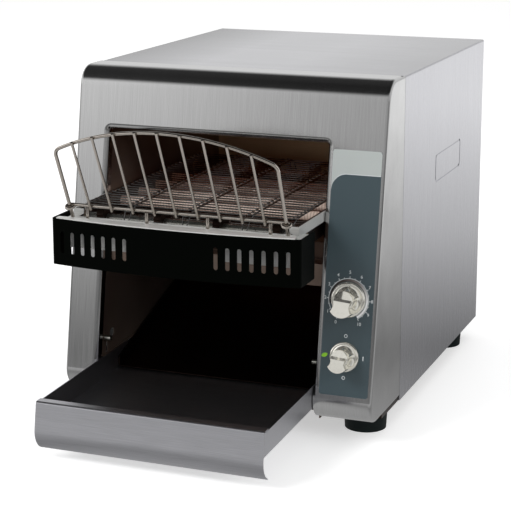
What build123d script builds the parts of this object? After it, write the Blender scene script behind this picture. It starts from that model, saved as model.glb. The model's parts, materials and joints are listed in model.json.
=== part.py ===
"""Countertop conveyor toaster with a front feed and a front return.

Millimetres. +X is the operator's right, -Y the front, +Z up. The origin is on the counter, in the
middle of the outer box, with the collection tray drawn out.
"""

import os
from math import cos, pi, radians, sin, tan

from build123d import *

os.makedirs("parts", exist_ok=True)

# ---------------------------------------------------------------- driving dimensions

# Casing
left_jamb = 40.7  # front panel left of the opening
column_w = 67.7  # front panel right of the opening, with the controls
body_d = 376.6  # from the front seam to the rear panel
body_h = 380.7  # side panels, from their bottom edge
sheet = 1.2  # stainless sheet
flange = 12.0  # inward folds of the casing panels
panel_gap = 0.6  # seam between two casing panels
slip = 0.3  # room between pieces that lie close together

# Front panel
nose_reach = 118.2  # face in front of the seam, at the level of the casing's bottom edge
lean = 9.18  # face leans back by this many degrees
top_curl_r = 25.0
bottom_curl_r = 24.0
curl_tip_back = 24.5  # curl tip behind the face at the same level
pan_front = -66.0  # base pan's front edge, from the seam
pan_edge_h = 16.0
top_reveal = 1.0  # top cover inside the side panels
vents_y = 65.0
vent_pitch = 12.0
vent_rows = 8
vent_l = 30.0
vent_w = 5.0
front_rise = 4.5  # bottom of the front panel above the casing's bottom edge
front_edge_r = 4.0
top_lap = 14.0  # top cover under the front panel
top_land = 10.0  # rear edge of the front panel's top in front of the seam

# Opening in the front panel
opening_w = 267.6
opening_top = 312.0  # above the casing's bottom edge
jamb_r = 6.0  # soft bend around the opening
jamb_depth = 12.0
opening_corner_r = 3.0

# Chamber
wall_back = 268.0  # chamber back, behind the seam
wall_top = 345.0  # upper reflector, above the casing's bottom edge
pad_h = 20.0  # insulation
baffle_bottom = 178.0
baffle_top = 197.0
baffle_place = -62.0  # from the seam
reflector_front = -52.0
reflector_lip = 26.0

# Feet
foot_h = 25.0
foot_r = 25.5
foot_taper = 1.5
foot_in = 32.0  # foot's middle inside the casing's side
foot_front_y = -28.0  # from the seam
foot_rear_y = 318.0
foot_bolt_r = 3.0
foot_bolt_head_r = 5.5
foot_bolt_head_h = 4.0

# Conveyor
belt_room = 2.0  # belt's edge inside a rail
belt_t = 2.4
belt_top = 241.5  # above the casing's bottom edge
belt_turn_r = 18.7  # outside of the belt over its sprockets
belt_pitch = 12.7
belt_wire = 3.0
belt_edge = 4.0
idler_y = -140.0  # from the seam
drive_y = 175.0
shaft_r = 6.0
shaft_room = 2.0  # around the drive shaft in the right inner wall
running_fit = 0.05  # radial
sprocket_w = 8.0
sprocket_gap = 0.5  # sprocket inside the belt
sprocket_count = 4
sprocket_in = 22.0  # outer sprockets inside the belt's edge
rail_t = 1.5
rail_room = 5.4  # rail's inner face inside the inner wall
rail_front = -160.2  # from the seam
rail_rear = 201.0
rail_bottom = 208.0  # above the casing's bottom edge
rail_top = 236.0
bush_r = 10.0
bush_flange_r = 11.9
bush_flange_t = 1.6
spacer_r = 5.0
spacer_ys = (-20.0, 30.0, 80.0, 140.0)
belt_teeth = 9

# Heaters
tube_r = 5.5
tube_wall = 1.0
tube_hole_r = 7.0
cap_r = 9.0
cap_l = 16.0
upper_tube_z = 328.0
upper_tube_ys = (-15.0, 45.0, 105.0, 165.0)
lower_tube_ys = (-45.0, 5.0, 55.0, 105.0)

# Collection tray
tray_reach = 266.3  # tray front ahead of the seam, drawn out
tray_incline = 1.3  # slides down towards the front by this many degrees
tray_curl_z = 8.6  # middle of the tray front's curl above the casing's bottom edge
tray_face_h = 29.9  # straight part of the tray front
tray_curl_end = 62.0  # the curl turns this many degrees past straight down
tray_rim = 10.0
tray_rim_r = 2.0
tray_gap = 0.8  # tray beside the opening's edge
pan_t = 1.0
pan_low = 5.7  # pan bottom above the curl's middle
pan_wall_h = 26.8
pan_rear = 250.0  # pan's rear end behind the curl's middle
runner_front = 147.0  # from the curl's middle
runner_rear = 400.0
runner_ledge = 8.0
runner_hook = 1.8

# Discharge chute
chute_room = 3.5  # beside the inner wall
chute_lip_y = -60.0
chute_lip_z = 22.5
chute_slope = 17.0
chute_bend_r = 55.0
chute_flange = 12.0
chute_top = 205.0
rest_rod_y = 120.0
rest_rod_r = 4.0

# Crumb tray
crumb_room = 2.9  # beside the inner wall
crumb_floor = 164.0
crumb_h = 11.0
crumb_front = -74.0
crumb_rear = 175.0
crumb_pull = 14.0
crumb_runner_w = 8.0

# Studs and keyholes near the front of the inner walls
stud_y = -90.0
stud_z = 66.0
stud_r = 3.0
stud_reach = 9.0
keyhole_r = 6.0
keyhole_y = -69.0
keyslot_y = -83.0
keyslot_z = 50.0
keyslot_w = 5.0
keyslot_l = 18.0

# Guard, ledge and loading rack
guard_front = -190.0
guard_over = 11.8  # guard's side beyond the inner wall's face
guard_bottom = 178.4
guard_top = 230.8
guard_bow = 11.5  # middle of the guard's front ahead of its corners
guard_flange = 43.5
guard_lip = 14.0
guard_r = 4.0
slot_w = 5.0
slot_l = 24.8
slot_z = 204.4
slots_in = 53.2  # middle of a group inside the guard's end
slots_pitch = 13.2
slots_per_group = 7
ledge_over = 5.3  # beyond the inner wall's face
ledge_depth = 6.0  # strip's straight rear edge behind the guard's front corners
ledge_drop = 5.2  # shelf below the strip
shelf_depth = 17.2
shelf_hem = 2.7
slot_plate_span = (56.0, 132.0)  # plates behind the slots, from the chamber's middle
slot_plate_bottom = 198.2
cheek_top = 236.8
cheek_rear = -60.0
cheek_reach = 12.8  # front flange of a cheek
cheek_cut = 6.0
rack_wire_r = 2.0
rack_upright_r = 1.5
rack_foot_y = -174.3
rack_lean = 24.3
rack_in = 12.9  # rack's feet inside the ledge's ends
rack_splay = 1.2  # shoulders outside the feet
rack_arch_h = 123.9
rack_arch_r = 280.0
rack_corner_r = 11.0
rack_bar_up = 18.2  # cross bar above the feet, along the rack
rack_upright_over = 3.0
rack_uprights = 9
weld_gap = 0.1  # between crossing wires
rack_hole_r = 2.4
shelf_gap = 0.3  # between the rack's feet and the shelf
rack_post_in = 19.2  # outer posts inside the rack's feet
rack_posts = 4
rack_post_plug = 6.0

# Controls
label_in = 6.7  # label beside the opening
label_out = 4.5  # label beside the casing's side
label_z0 = 37.5
label_z1 = 306.0
label_t = 0.4
label_r = 3.0
speed_in = 34.8  # knob's middle right of the opening
speed_z = 143.8
speed_skirt_r = 19.7
speed_grip_w = 20.0
mode_in = 34.2
mode_z = 81.0
mode_skirt_r = 16.8
mode_grip_w = 17.4
knob_rest_turn = 4.5  # at rest the pointer stands a little right of the top
skirt_h = 3.6
grip_h = 25.0
grip_corner_in = 7.4
grip_flare = 1.8
crease_w = 2.4  # slope from the grip down to the top of the drum
drum_out = 1.2
drum_h = 22.0
drum_drop = 1.8  # fall of the drum's top towards the pointer
drum_round = 1.4
drum_foot_r = 4.0
pointer_in = 4.0
pointer_out = 1.6
pointer_shoulder = 5.6
knob_gap = 0.6
spindle_r = 3.0
spindle_in_knob = 11.0
control_neck_r = 4.6
control_depth = 16.0
speed_case_r = 12.0
mode_case_w = 28.0

spindle_in_control = 9.0
grip_waist = 0.7
grip_in = 1.5  # grip's ends inside the skirt
skirt_round = 2.0

# Side plaque
plaque_y = 200.0
plaque_z = 250.0
plaque_w = 120.0
plaque_h = 35.0
plaque_r = 6.0
plaque_rim = 2.2
plaque_sunk = 0.6

# Drive
chain_room = 7.9  # chain's middle outside the right inner wall
chain_pitch = 6.35
chain_h = 5.2
chain_w = 5.6
wheel_teeth = 30
pinion_teeth = 15
sprocket_t = 2.6
motor_y = 165.0
motor_z = 95.0
motor_shaft_r = 4.0
gearbox_w = 60.0
gearbox_t = 22.0
motor_can_r = 27.0
motor_can_l = 14.0
bracket_t = 2.0
bracket_gap = 3.0  # beside the chain
bracket_over = 4.0  # wider than the gearbox on each side
chain_gap = 0.4  # sprockets inside the chain
chain_notch_r = 1.6
shaft_in_motor = 14.0

# Electrical pieces in the bay right of the chamber
terminal_y = 300.0
terminal_size = (42.0, 22.0, 18.0)
terminal_ways = 4
relay_y = 60.0
relay_size = (30.0, 28.0, 26.0)
blade_size = (6.3, 0.8, 8.0)
board_y = (-30.0, 60.0)
board_z = (242.0, 302.0)
board_t = 1.6
standoff_h = 10.0
standoff_r = 3.0
standoff_in = 6.0
thermostat_y = 125.0
thermostat_z = 285.0
thermostat_r = 9.0
thermostat_h = 7.0
thermostat_ear = 30.0

# Fan
fan_w = 119.0
fan_t = 38.0
fan_bore_r = 57.0
fan_hole_in = 7.0  # corner holes from the frame's sides
fan_hub_r = 21.0
fan_z = 215.0
fan_pin_r = 2.5
blade_count = 7
blade_pitch = 38.0
blade_t = 1.5
blade_chord = 24.0
blade_tip_r = 53.0
fan_strut_w = 5.0
fan_back_t = 4.0
guard_wire_r = 1.2
guard_ring_step = 11.5
guard_rings = 5
guard_lug_r = 5.0

# Rear panel
gland_z = 45.0
gland_r = 11.0
gland_bore_r = 5.0
gland_reach = 14.0
gland_neck_r = 8.0
rear_lip = 14.0
louvre_w = 60.0
louvre_h = 4.0
louvre_pitch = 12.0
louvre_rows = 6
louvre_in = 78.0  # middle of the louvres inside the casing's side
pan_screw_in = 108.0
louvre_drop = 60.0  # middle of the upper louvres below the roof
louvre_rise = 60.0  # middle of the lower louvres above the casing's bottom edge
screw_reach = 4.0
lug_t = 1.2
screw_r = 2.0
screw_head_r = 4.0
screw_head_h = 2.2

# ---------------------------------------------------------------- levels and places

deck = foot_h  # casing's bottom edge above the counter
seam_y = (tray_reach - body_d - gland_reach) / 2
opening_half = opening_w / 2
body_w = left_jamb + opening_w + column_w
half_w = body_w / 2
chamber_x = left_jamb + opening_half - half_w  # middle of the opening
opening_right = chamber_x + opening_half
speed_x = opening_right + speed_in
mode_x = opening_right + mode_in
inner_half = half_w - sheet
rear_y = seam_y + body_d
roof_z = deck + body_h
front_proud = sheet + slip
wall_half = opening_half + panel_gap  # chamber side of an inner wall, from the chamber's middle
wall_outer = wall_half + sheet
back_y = seam_y + wall_back
slope = tan(radians(lean))
floor_z = deck + sheet  # on the base pan
belt_z = deck + belt_top - belt_turn_r  # shafts
idler_shaft_y = seam_y + idler_y
drive_shaft_y = seam_y + drive_y
right_wall_x = chamber_x + wall_outer  # outer face of the right inner wall
chain_x = right_wall_x + chain_room
rail_half = wall_half - rail_room
belt_w = 2 * (rail_half - belt_room)
chute_half = wall_half - chute_room
crumb_half = wall_half - crumb_room
guard_half = wall_half + guard_over
ledge_half = wall_half + ledge_over
rack_foot_half = ledge_half - rack_in
rack_top_half = rack_foot_half + rack_splay


def middle(span):
    """Middle of a pair of limits."""
    return (span[0] + span[1]) / 2


def face_y(z):
    """Place of the front face's outside at height z."""
    return seam_y - nose_reach + (z - deck) * slope


def block(x_span, y_span, z_span, mode=Mode.ADD):
    """Box between pairs of limits."""
    with Locations((middle(x_span), middle(y_span), middle(z_span))):
        Box(abs(x_span[1] - x_span[0]), abs(y_span[1] - y_span[0]), abs(z_span[1] - z_span[0]), mode=mode)


def bar_x(radius, x_span, y, z, mode=Mode.ADD):
    """Round bar along X."""
    with Locations((middle(x_span), y, z)):
        Cylinder(radius, abs(x_span[1] - x_span[0]), rotation=(0, 90, 0), mode=mode)


def bar_y(radius, x, y_span, z, mode=Mode.ADD):
    """Round bar along Y."""
    with Locations((x, middle(y_span), z)):
        Cylinder(radius, abs(y_span[1] - y_span[0]), rotation=(90, 0, 0), mode=mode)


def bar_z(radius, x, y, z_span, mode=Mode.ADD):
    """Round bar along Z."""
    with Locations((x, y, middle(z_span))):
        Cylinder(radius, abs(z_span[1] - z_span[0]), mode=mode)


def face_plane(x, z):
    """Plane on the front face at x and height z: local Y runs up the face, local Z outwards."""
    normal = (0, -cos(radians(lean)), sin(radians(lean)))
    return Plane(origin=(x, face_y(z), z), x_dir=(1, 0, 0), z_dir=normal)


# ---------------------------------------------------------------- feet and base

foot_places = [
    (side * (half_w - foot_in), seam_y + y) for y in (foot_front_y, foot_rear_y) for side in (-1, 1)
]
bolt_head_top = deck - foot_h / 2

with BuildPart() as feet:
    for x, y in foot_places:
        with BuildSketch(Plane.XY) as foot_base:
            with Locations((x, y)):
                Circle(foot_r - foot_taper)
        with BuildSketch(Plane.XY.offset(foot_h)) as foot_head:
            with Locations((x, y)):
                Circle(foot_r)
        loft()
        bar_z(foot_bolt_r, x, y, (0, deck), mode=Mode.SUBTRACT)
        bar_z(foot_bolt_head_r + slip, x, y, (0, bolt_head_top), mode=Mode.SUBTRACT)
feet.part.label = "feet"
export_step(feet.part, "parts/feet.step")

with BuildPart() as foot_bolts:
    for x, y in foot_places:
        bar_z(foot_bolt_r, x, y, (bolt_head_top, floor_z))
        bar_z(foot_bolt_head_r, x, y, (bolt_head_top - foot_bolt_head_h, bolt_head_top))
        bar_z(foot_bolt_head_r, x, y, (floor_z, floor_z + foot_bolt_head_h))
foot_bolts.part.label = "foot_bolts"
export_step(foot_bolts.part, "parts/foot_bolts.step")

pan_half = inner_half - slip
pan_front_y = seam_y + pan_front
pan_rear_y = rear_y - sheet - slip
left_bay_x = middle((-inner_half, chamber_x - wall_outer))
right_bay_x = middle((right_wall_x, inner_half))
rear_screw_places = [
    (side * (inner_half - flange / 2), deck + body_h * share)
    for side in (-1, 1)
    for share in (0.12, 0.38, 0.64, 0.9)
]
pan_screw_xs = (-half_w + pan_screw_in, half_w - pan_screw_in)
louvre_x = half_w - louvre_in

with BuildPart() as base_pan:
    block((-pan_half, pan_half), (pan_front_y, pan_rear_y), (deck, floor_z))
    edge_z = (deck, deck + pan_edge_h)
    for side in (-1, 1):
        block((side * (pan_half - sheet), side * pan_half), (pan_front_y, pan_rear_y), edge_z)
    block((-pan_half, pan_half), (pan_rear_y - sheet, pan_rear_y), edge_z)
    for x, y in foot_places:
        bar_z(foot_bolt_r, x, y, (deck, floor_z), mode=Mode.SUBTRACT)
    with BuildSketch(Plane.XY.offset(deck)) as vents:
        for x in (left_bay_x, right_bay_x):
            with Locations((x, seam_y + vents_y)):
                with GridLocations(0, vent_pitch, 1, vent_rows):
                    SlotOverall(vent_l, vent_w)
    extrude(amount=sheet, mode=Mode.SUBTRACT)
    for x in pan_screw_xs:
        bar_y(screw_r, x, (pan_rear_y - 2 * sheet, rear_y), deck + pan_edge_h / 2, mode=Mode.SUBTRACT)
base_pan.part.label = "base_pan"
export_step(base_pan.part, "parts/base_pan.step")

# ---------------------------------------------------------------- casing


def hood_outline(inset):
    """Side outline of the front panel, moved inwards by inset: sloped face, top curl, bottom curl."""
    top = roof_z + front_proud - inset
    low = deck + front_rise + inset
    ahead = inset / cos(radians(lean))
    with BuildSketch(Plane.YZ) as outline:
        with BuildLine():
            Polyline(
                (seam_y, top),
                (face_y(top) + ahead, top),
                (face_y(low) + ahead, low),
                (seam_y, low),
                close=True,
            )
        make_face()
        corners = outline.vertices().group_by(Axis.X)[0] + outline.vertices().group_by(Axis.X)[1]
        fillet(corners.sort_by(Axis.Y)[-1], top_curl_r - inset)
        fillet(outline.vertices().sort_by(Axis.X)[0], bottom_curl_r - inset)
    return outline.sketch


def opening_outline(grow, low_s, depth=0.0):
    """Opening in the front face, grown by grow, from low_s along the face to its top, at a depth."""
    high_s = opening_top * up_face + grow
    with BuildSketch(face_plane(chamber_x, deck).offset(-depth)) as outline:
        with Locations((0, (low_s + high_s) / 2)):
            Rectangle(opening_w + 2 * grow, high_s - low_s)
        fillet(outline.vertices().group_by(Axis.Y)[-1], opening_corner_r + grow)
    return outline.sketch


def rim(piece, grow):
    """Edges of the outermost sloped face of a piece that lie along the opening grown by grow."""
    outward = face_plane(chamber_x, deck).z_dir
    outer = piece.faces().sort_by(Axis((0, 0, 0), outward))[-1]
    near = [edge for edge in outer.edges() if abs(edge.center().X - chamber_x) < opening_half + grow + 1]
    top = deck + opening_top + (grow + 1)
    return [edge for edge in near if edge.center().Z < top and edge.center().Z > deck + curl_s + flange]


up_face = 1 / cos(radians(lean))  # length along the face for each unit of height
curl_s = (front_rise + bottom_curl_r + jamb_r) * up_face  # the soft bend ends above the curl
below_s = -bottom_curl_r
curl_tip_y = face_y(deck + front_rise) + curl_tip_back
curl_start_y = seam_y - top_lap - top_curl_r / 2  # edges ahead of this are rounded


def rounded_hood(inset):
    """Solid inside the outline of the front panel, with its front edges rounded."""
    with BuildPart() as hood:
        extrude(hood_outline(inset), amount=half_w - inset, both=True)
        for side in (-1, 1):
            end = side * (half_w - inset)
            edges = hood.edges().filter_by_position(Axis.X, end - slip, end + slip)
            fillet([edge for edge in edges if edge.center().Y < curl_start_y], front_edge_r - inset)
    return hood.part


with BuildPart() as jamb_pocket:
    extrude(opening_outline(jamb_r + 1, curl_s - 1, sheet), amount=-jamb_depth)
    extrude(opening_outline(sheet, below_s, sheet), amount=-jamb_depth, mode=Mode.SUBTRACT)
    fillet(rim(jamb_pocket, sheet), jamb_r - sheet)

with BuildPart() as jamb:
    extrude(opening_outline(jamb_r, curl_s), amount=-jamb_depth)
    extrude(opening_outline(0, below_s), amount=-jamb_depth, mode=Mode.SUBTRACT)
    fillet(rim(jamb, 0), jamb_r - slip / 10)
    add(jamb_pocket.part, mode=Mode.SUBTRACT)

fold_low = deck + front_rise + front_edge_r + sheet

with BuildPart() as front_panel:
    add(rounded_hood(0))
    add(rounded_hood(sheet), mode=Mode.SUBTRACT)
    block((-inner_half, inner_half), (curl_tip_y, seam_y), (deck, fold_low), mode=Mode.SUBTRACT)
    under_hood = (seam_y - top_land, seam_y)
    block((-inner_half, inner_half), under_hood, (roof_z - sheet, roof_z + flange), mode=Mode.SUBTRACT)
    for side in (-1, 1):
        fold = (side * (inner_half - flange), side * inner_half)
        block(fold, (seam_y - sheet, seam_y), (deck + 2 * flange, roof_z - 2 * flange))
    extrude(opening_outline(jamb_r, curl_s), amount=-jamb_depth, mode=Mode.SUBTRACT)
    extrude(opening_outline(0, below_s), amount=-nose_reach / 2, mode=Mode.SUBTRACT)
    add(jamb.part)
    for x, z in ((speed_x, deck + speed_z), (mode_x, deck + mode_z)):
        with Locations(face_plane(x, z)):
            Cylinder(control_neck_r + running_fit, 4 * sheet, mode=Mode.SUBTRACT)
front_panel.part.label = "front_panel"
export_step(front_panel.part, "parts/front_panel.step")

for side, name in ((-1, "left_side_panel"), (1, "right_side_panel")):
    fold = (side * (inner_half - flange), side * inner_half)
    low_y = seam_y + panel_gap
    with BuildPart() as side_panel:
        block((side * inner_half, side * half_w), (low_y, rear_y), (deck, roof_z - sheet))
        corner = side_panel.edges().filter_by_position(Axis.X, side * half_w - slip, side * half_w + slip)
        fillet([corner.sort_by(Axis.Z)[-1], corner.sort_by(Axis.Y)[-1]], sheet - slip)
        block(fold, (low_y, rear_y - sheet), (roof_z - 2 * sheet, roof_z - sheet))
        block(fold, (rear_y - 2 * sheet, rear_y - sheet), (deck + 2 * flange, roof_z - 2 * sheet))
        block(fold, (low_y, low_y + sheet), (deck + 2 * flange, roof_z - 2 * sheet))
        for x, z in rear_screw_places:
            bar_y(screw_r, x, (rear_y - 3 * sheet, rear_y - sheet), z, mode=Mode.SUBTRACT)
        plaque = Plane(
            origin=(side * half_w, seam_y + plaque_y, deck + plaque_z), x_dir=(0, side, 0), z_dir=(side, 0, 0)
        )
        with BuildSketch(plaque) as plaque_frame:
            RectangleRounded(plaque_w, plaque_h, plaque_r)
            RectangleRounded(
                plaque_w - 2 * plaque_rim, plaque_h - 2 * plaque_rim, plaque_r - plaque_rim, mode=Mode.SUBTRACT
            )
        extrude(amount=-plaque_sunk, mode=Mode.SUBTRACT)
    side_panel.part.label = name
    export_step(side_panel.part, f"parts/{name}.step")

cover_half = half_w - top_reveal
rear_half = inner_half - slip
tongue_half = inner_half - front_edge_r

with BuildPart() as top_cover:
    block((-cover_half, cover_half), (seam_y + slip, rear_y), (roof_z - sheet, roof_z))
    block((-tongue_half, tongue_half), (seam_y - top_land - top_lap, seam_y + slip), (roof_z - sheet, roof_z))
    block((-rear_half, rear_half), (rear_y - sheet, rear_y), (roof_z - rear_lip, roof_z - sheet))
    upper = top_cover.edges().group_by(Axis.Z)[-1]
    fillet([edge for edge in upper if edge.center().Y > seam_y + flange], sheet - 2 * slip)
top_cover.part.label = "top_cover"
export_step(top_cover.part, "parts/top_cover.step")

fan_x = chamber_x
fan_place_z = deck + fan_z
fan_hole = fan_w / 2 - fan_hole_in
fan_corners = [(fan_x + i * fan_hole, fan_place_z + j * fan_hole) for i in (-1, 1) for j in (-1, 1)]
rear_face = Plane(origin=(0, rear_y, 0), x_dir=(-1, 0, 0), z_dir=(0, 1, 0))

with BuildPart() as rear_panel:
    block((-rear_half, rear_half), (rear_y - sheet, rear_y), (deck, roof_z - rear_lip - panel_gap))
    bar_y(fan_bore_r, fan_x, (rear_y - sheet, rear_y), fan_place_z, mode=Mode.SUBTRACT)
    bar_y(gland_neck_r, right_bay_x, (rear_y - sheet, rear_y), deck + gland_z, mode=Mode.SUBTRACT)
    for x, z in rear_screw_places + fan_corners + [(x, deck + pan_edge_h / 2) for x in pan_screw_xs]:
        bar_y(screw_r, x, (rear_y - sheet, rear_y), z, mode=Mode.SUBTRACT)
    with BuildSketch(rear_face) as louvres:
        for x in (-louvre_x, louvre_x):
            with Locations((x, roof_z - louvre_drop), (x, deck + louvre_rise)):
                with GridLocations(0, louvre_pitch, 1, louvre_rows):
                    SlotOverall(louvre_w, louvre_h)
    extrude(amount=-sheet, mode=Mode.SUBTRACT)
rear_panel.part.label = "rear_panel"
export_step(rear_panel.part, "parts/rear_panel.step")

with BuildPart() as case_screws:
    for x, z in rear_screw_places + fan_corners + [(x, deck + pan_edge_h / 2) for x in pan_screw_xs]:
        seat = rear_y + (lug_t if (x, z) in fan_corners else 0)
        bar_y(screw_r, x, (rear_y - sheet - screw_reach, seat), z)
        bar_y(screw_head_r, x, (seat, seat + screw_head_h), z)
case_screws.part.label = "case_screws"
export_step(case_screws.part, "parts/case_screws.step")

# ---------------------------------------------------------------- chamber


def wall_front_y(z):
    """Front edge of an inner wall, just behind the bend around the opening."""
    return face_y(z) + (jamb_depth + panel_gap) * up_face


upper_tubes = [(seam_y + y, deck + upper_tube_z) for y in upper_tube_ys]
lower_tubes = [(seam_y + y, belt_z) for y in lower_tube_ys]
reflector_z = deck + wall_top
curl_top_z = deck + curl_s / up_face
chute_y = back_y - slip - sheet / 2  # middle of the chute's upright end
chute_rise = tan(radians(chute_slope))


def chute_z(y):
    """Middle of the chute's sloped sheet at place y."""
    return deck + chute_lip_z + (y - seam_y - chute_lip_y) * chute_rise


rod_y = seam_y + rest_rod_y
rod_z = chute_z(rod_y) - (rest_rod_r + sheet / 2 + slip) / cos(radians(chute_slope))

for side, name in ((-1, "left_inner_wall"), (1, "right_inner_wall")):
    face_x = chamber_x + side * wall_half
    outer_x = chamber_x + side * wall_outer
    through = (face_x - side * sheet, outer_x + side * sheet)
    with BuildPart() as inner_wall:
        with BuildSketch(Plane.YZ.offset(face_x)) as wall_side:
            with BuildLine():
                Polyline(
                    (curl_tip_y + slip, floor_z),
                    (curl_tip_y + slip, curl_top_z),
                    (wall_front_y(curl_top_z), curl_top_z),
                    (wall_front_y(reflector_z), reflector_z),
                    (back_y, reflector_z),
                    (back_y, floor_z),
                    close=True,
                )
            make_face()
            with Locations((seam_y + keyslot_y, deck + keyslot_z)):
                SlotOverall(keyslot_l, keyslot_w, rotation=90, mode=Mode.SUBTRACT)
        extrude(amount=side * sheet)
        block((outer_x, outer_x + side * flange), (pan_front_y, back_y), (floor_z, floor_z + sheet))
        for x, y in foot_places:
            bar_z(foot_bolt_head_r + slip, x, y, (floor_z, floor_z + sheet), mode=Mode.SUBTRACT)
        for y, z in upper_tubes + lower_tubes:
            bar_x(tube_hole_r, through, y, z, mode=Mode.SUBTRACT)
        bar_x(keyhole_r, through, seam_y + keyhole_y, deck + stud_z, mode=Mode.SUBTRACT)
        bar_x(screw_r, through, seam_y + stud_y, deck + stud_z, mode=Mode.SUBTRACT)
        bar_x(rest_rod_r, through, rod_y, rod_z, mode=Mode.SUBTRACT)
        if side > 0:
            bar_x(shaft_r + shaft_room, through, drive_shaft_y, belt_z, mode=Mode.SUBTRACT)
    inner_wall.part.label = name
    export_step(inner_wall.part, f"parts/{name}.step")

with BuildPart() as wall_studs:
    for side in (-1, 1):
        face_x = chamber_x + side * wall_half
        outer_x = chamber_x + side * wall_outer
        y = seam_y + stud_y
        bar_x(stud_r, (face_x, face_x - side * stud_reach), y, deck + stud_z)
        bar_x(screw_r, (face_x, outer_x), y, deck + stud_z)
        bar_x(stud_r, (outer_x, outer_x + side * sheet), y, deck + stud_z)
wall_studs.part.label = "wall_studs"
export_step(wall_studs.part, "parts/wall_studs.step")

with BuildPart() as chamber_back:
    block((chamber_x - wall_outer, chamber_x + wall_outer), (back_y, back_y + sheet), (floor_z, reflector_z))
chamber_back.part.label = "chamber_back"
export_step(chamber_back.part, "parts/chamber_back.step")

lid_half = wall_outer + flange
lip_y = seam_y + reflector_front

with BuildPart() as upper_reflector:
    lid_x = (chamber_x - lid_half, chamber_x + lid_half)
    block(lid_x, (lip_y, back_y + flange), (reflector_z, reflector_z + sheet))
    lip_x = (chamber_x - wall_half + slip, chamber_x + wall_half - slip)
    block(lip_x, (lip_y, lip_y + sheet), (reflector_z - reflector_lip, reflector_z))
upper_reflector.part.label = "upper_reflector"
export_step(upper_reflector.part, "parts/upper_reflector.step")

with BuildPart() as insulation_pad:
    block(
        (chamber_x - wall_outer, chamber_x + wall_outer),
        (lip_y + flange, back_y),
        (reflector_z + sheet, reflector_z + sheet + pad_h),
    )
insulation_pad.part.label = "insulation_pad"
export_step(insulation_pad.part, "parts/insulation_pad.step")

with BuildPart() as front_baffle:
    baffle_z = (deck + baffle_bottom, deck + baffle_top)
    baffle_y = seam_y + baffle_place
    block((chamber_x - wall_half, chamber_x + wall_half), (baffle_y, baffle_y + sheet), baffle_z)
    for side in (-1, 1):
        fold = (chamber_x + side * (wall_half - sheet), chamber_x + side * wall_half)
        block(fold, (baffle_y + sheet, baffle_y + flange), baffle_z)
front_baffle.part.label = "front_baffle"
export_step(front_baffle.part, "parts/front_baffle.step")

tube_half = wall_outer + cap_l - sheet

for name, places in (("upper_quartz_tubes", upper_tubes), ("lower_quartz_tubes", lower_tubes)):
    with BuildPart() as tubes:
        for y, z in places:
            bar_x(tube_r, (chamber_x - tube_half, chamber_x + tube_half), y, z)
            bar_x(tube_r - tube_wall, (chamber_x - tube_half, chamber_x + tube_half), y, z, mode=Mode.SUBTRACT)
    tubes.part.label = name
    export_step(tubes.part, f"parts/{name}.step")

with BuildPart() as heater_caps:
    for y, z in upper_tubes + lower_tubes:
        for side in (-1, 1):
            outer_x = chamber_x + side * wall_outer
            bar_x(cap_r, (outer_x, outer_x + side * cap_l), y, z)
            bar_x(tube_r + running_fit, (outer_x, chamber_x + side * tube_half), y, z, mode=Mode.SUBTRACT)
heater_caps.part.label = "heater_caps"
export_step(heater_caps.part, "parts/heater_caps.step")

# ---------------------------------------------------------------- conveyor

bush_end = rail_half + rail_t + bush_flange_t

for side, name in ((-1, "left_conveyor_rail"), (1, "right_conveyor_rail")):
    rail_x = (chamber_x + side * rail_half, chamber_x + side * (rail_half + rail_t))
    with BuildPart() as rail:
        block(rail_x, (seam_y + rail_front, seam_y + rail_rear), (deck + rail_bottom, deck + rail_top))
        ends = rail.edges().filter_by(Axis.X)
        fillet(ends, spacer_r)
        for y in (idler_shaft_y, drive_shaft_y):
            bar_x(bush_r, rail_x, y, belt_z, mode=Mode.SUBTRACT)
        for y, z in lower_tubes:
            bar_x(tube_hole_r, rail_x, y, z, mode=Mode.SUBTRACT)
    rail.part.label = name
    export_step(rail.part, f"parts/{name}.step")

with BuildPart() as rail_spacers:
    for side in (-1, 1):
        for y in spacer_ys:
            gap = (chamber_x + side * (rail_half + rail_t), chamber_x + side * wall_half)
            bar_x(spacer_r, gap, seam_y + y, belt_z)
rail_spacers.part.label = "rail_spacers"
export_step(rail_spacers.part, "parts/rail_spacers.step")

with BuildPart() as shaft_bushes:
    for side in (-1, 1):
        for y in (idler_shaft_y, drive_shaft_y):
            neck = (chamber_x + side * rail_half, chamber_x + side * bush_end)
            collar = (chamber_x + side * (rail_half + rail_t), chamber_x + side * bush_end)
            bar_x(bush_r, neck, y, belt_z)
            bar_x(bush_flange_r, collar, y, belt_z)
            bar_x(shaft_r + running_fit, neck, y, belt_z, mode=Mode.SUBTRACT)
shaft_bushes.part.label = "shaft_bushes"
export_step(shaft_bushes.part, "parts/shaft_bushes.step")

with BuildPart() as idler_shaft:
    bar_x(shaft_r, (chamber_x - bush_end, chamber_x + bush_end), idler_shaft_y, belt_z)
idler_shaft.part.label = "idler_shaft"
export_step(idler_shaft.part, "parts/idler_shaft.step")

with BuildPart() as drive_shaft:
    bar_x(shaft_r, (chamber_x - bush_end, chain_x + sprocket_t * 2), drive_shaft_y, belt_z)
drive_shaft.part.label = "drive_shaft"
export_step(drive_shaft.part, "parts/drive_shaft.step")


def toothed_wheel(x, y, z, radius, thickness, teeth, notch_r, bore_r):
    """Wheel on an axis along X with round notches at its rim."""
    with BuildSketch(Plane.YZ.offset(x - thickness / 2)) as wheel:
        with Locations((y, z)):
            Circle(radius)
            Circle(bore_r, mode=Mode.SUBTRACT)
            with PolarLocations(radius, teeth):
                Circle(notch_r, mode=Mode.SUBTRACT)
    extrude(wheel.sketch, amount=thickness)


belt_inner_r = belt_turn_r - belt_t
belt_sprocket_r = belt_inner_r - sprocket_gap
sprocket_spread = belt_w - 2 * sprocket_in
sprocket_xs = [
    chamber_x + sprocket_spread * (i / (sprocket_count - 1) - 1 / 2) for i in range(sprocket_count)
]

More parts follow.
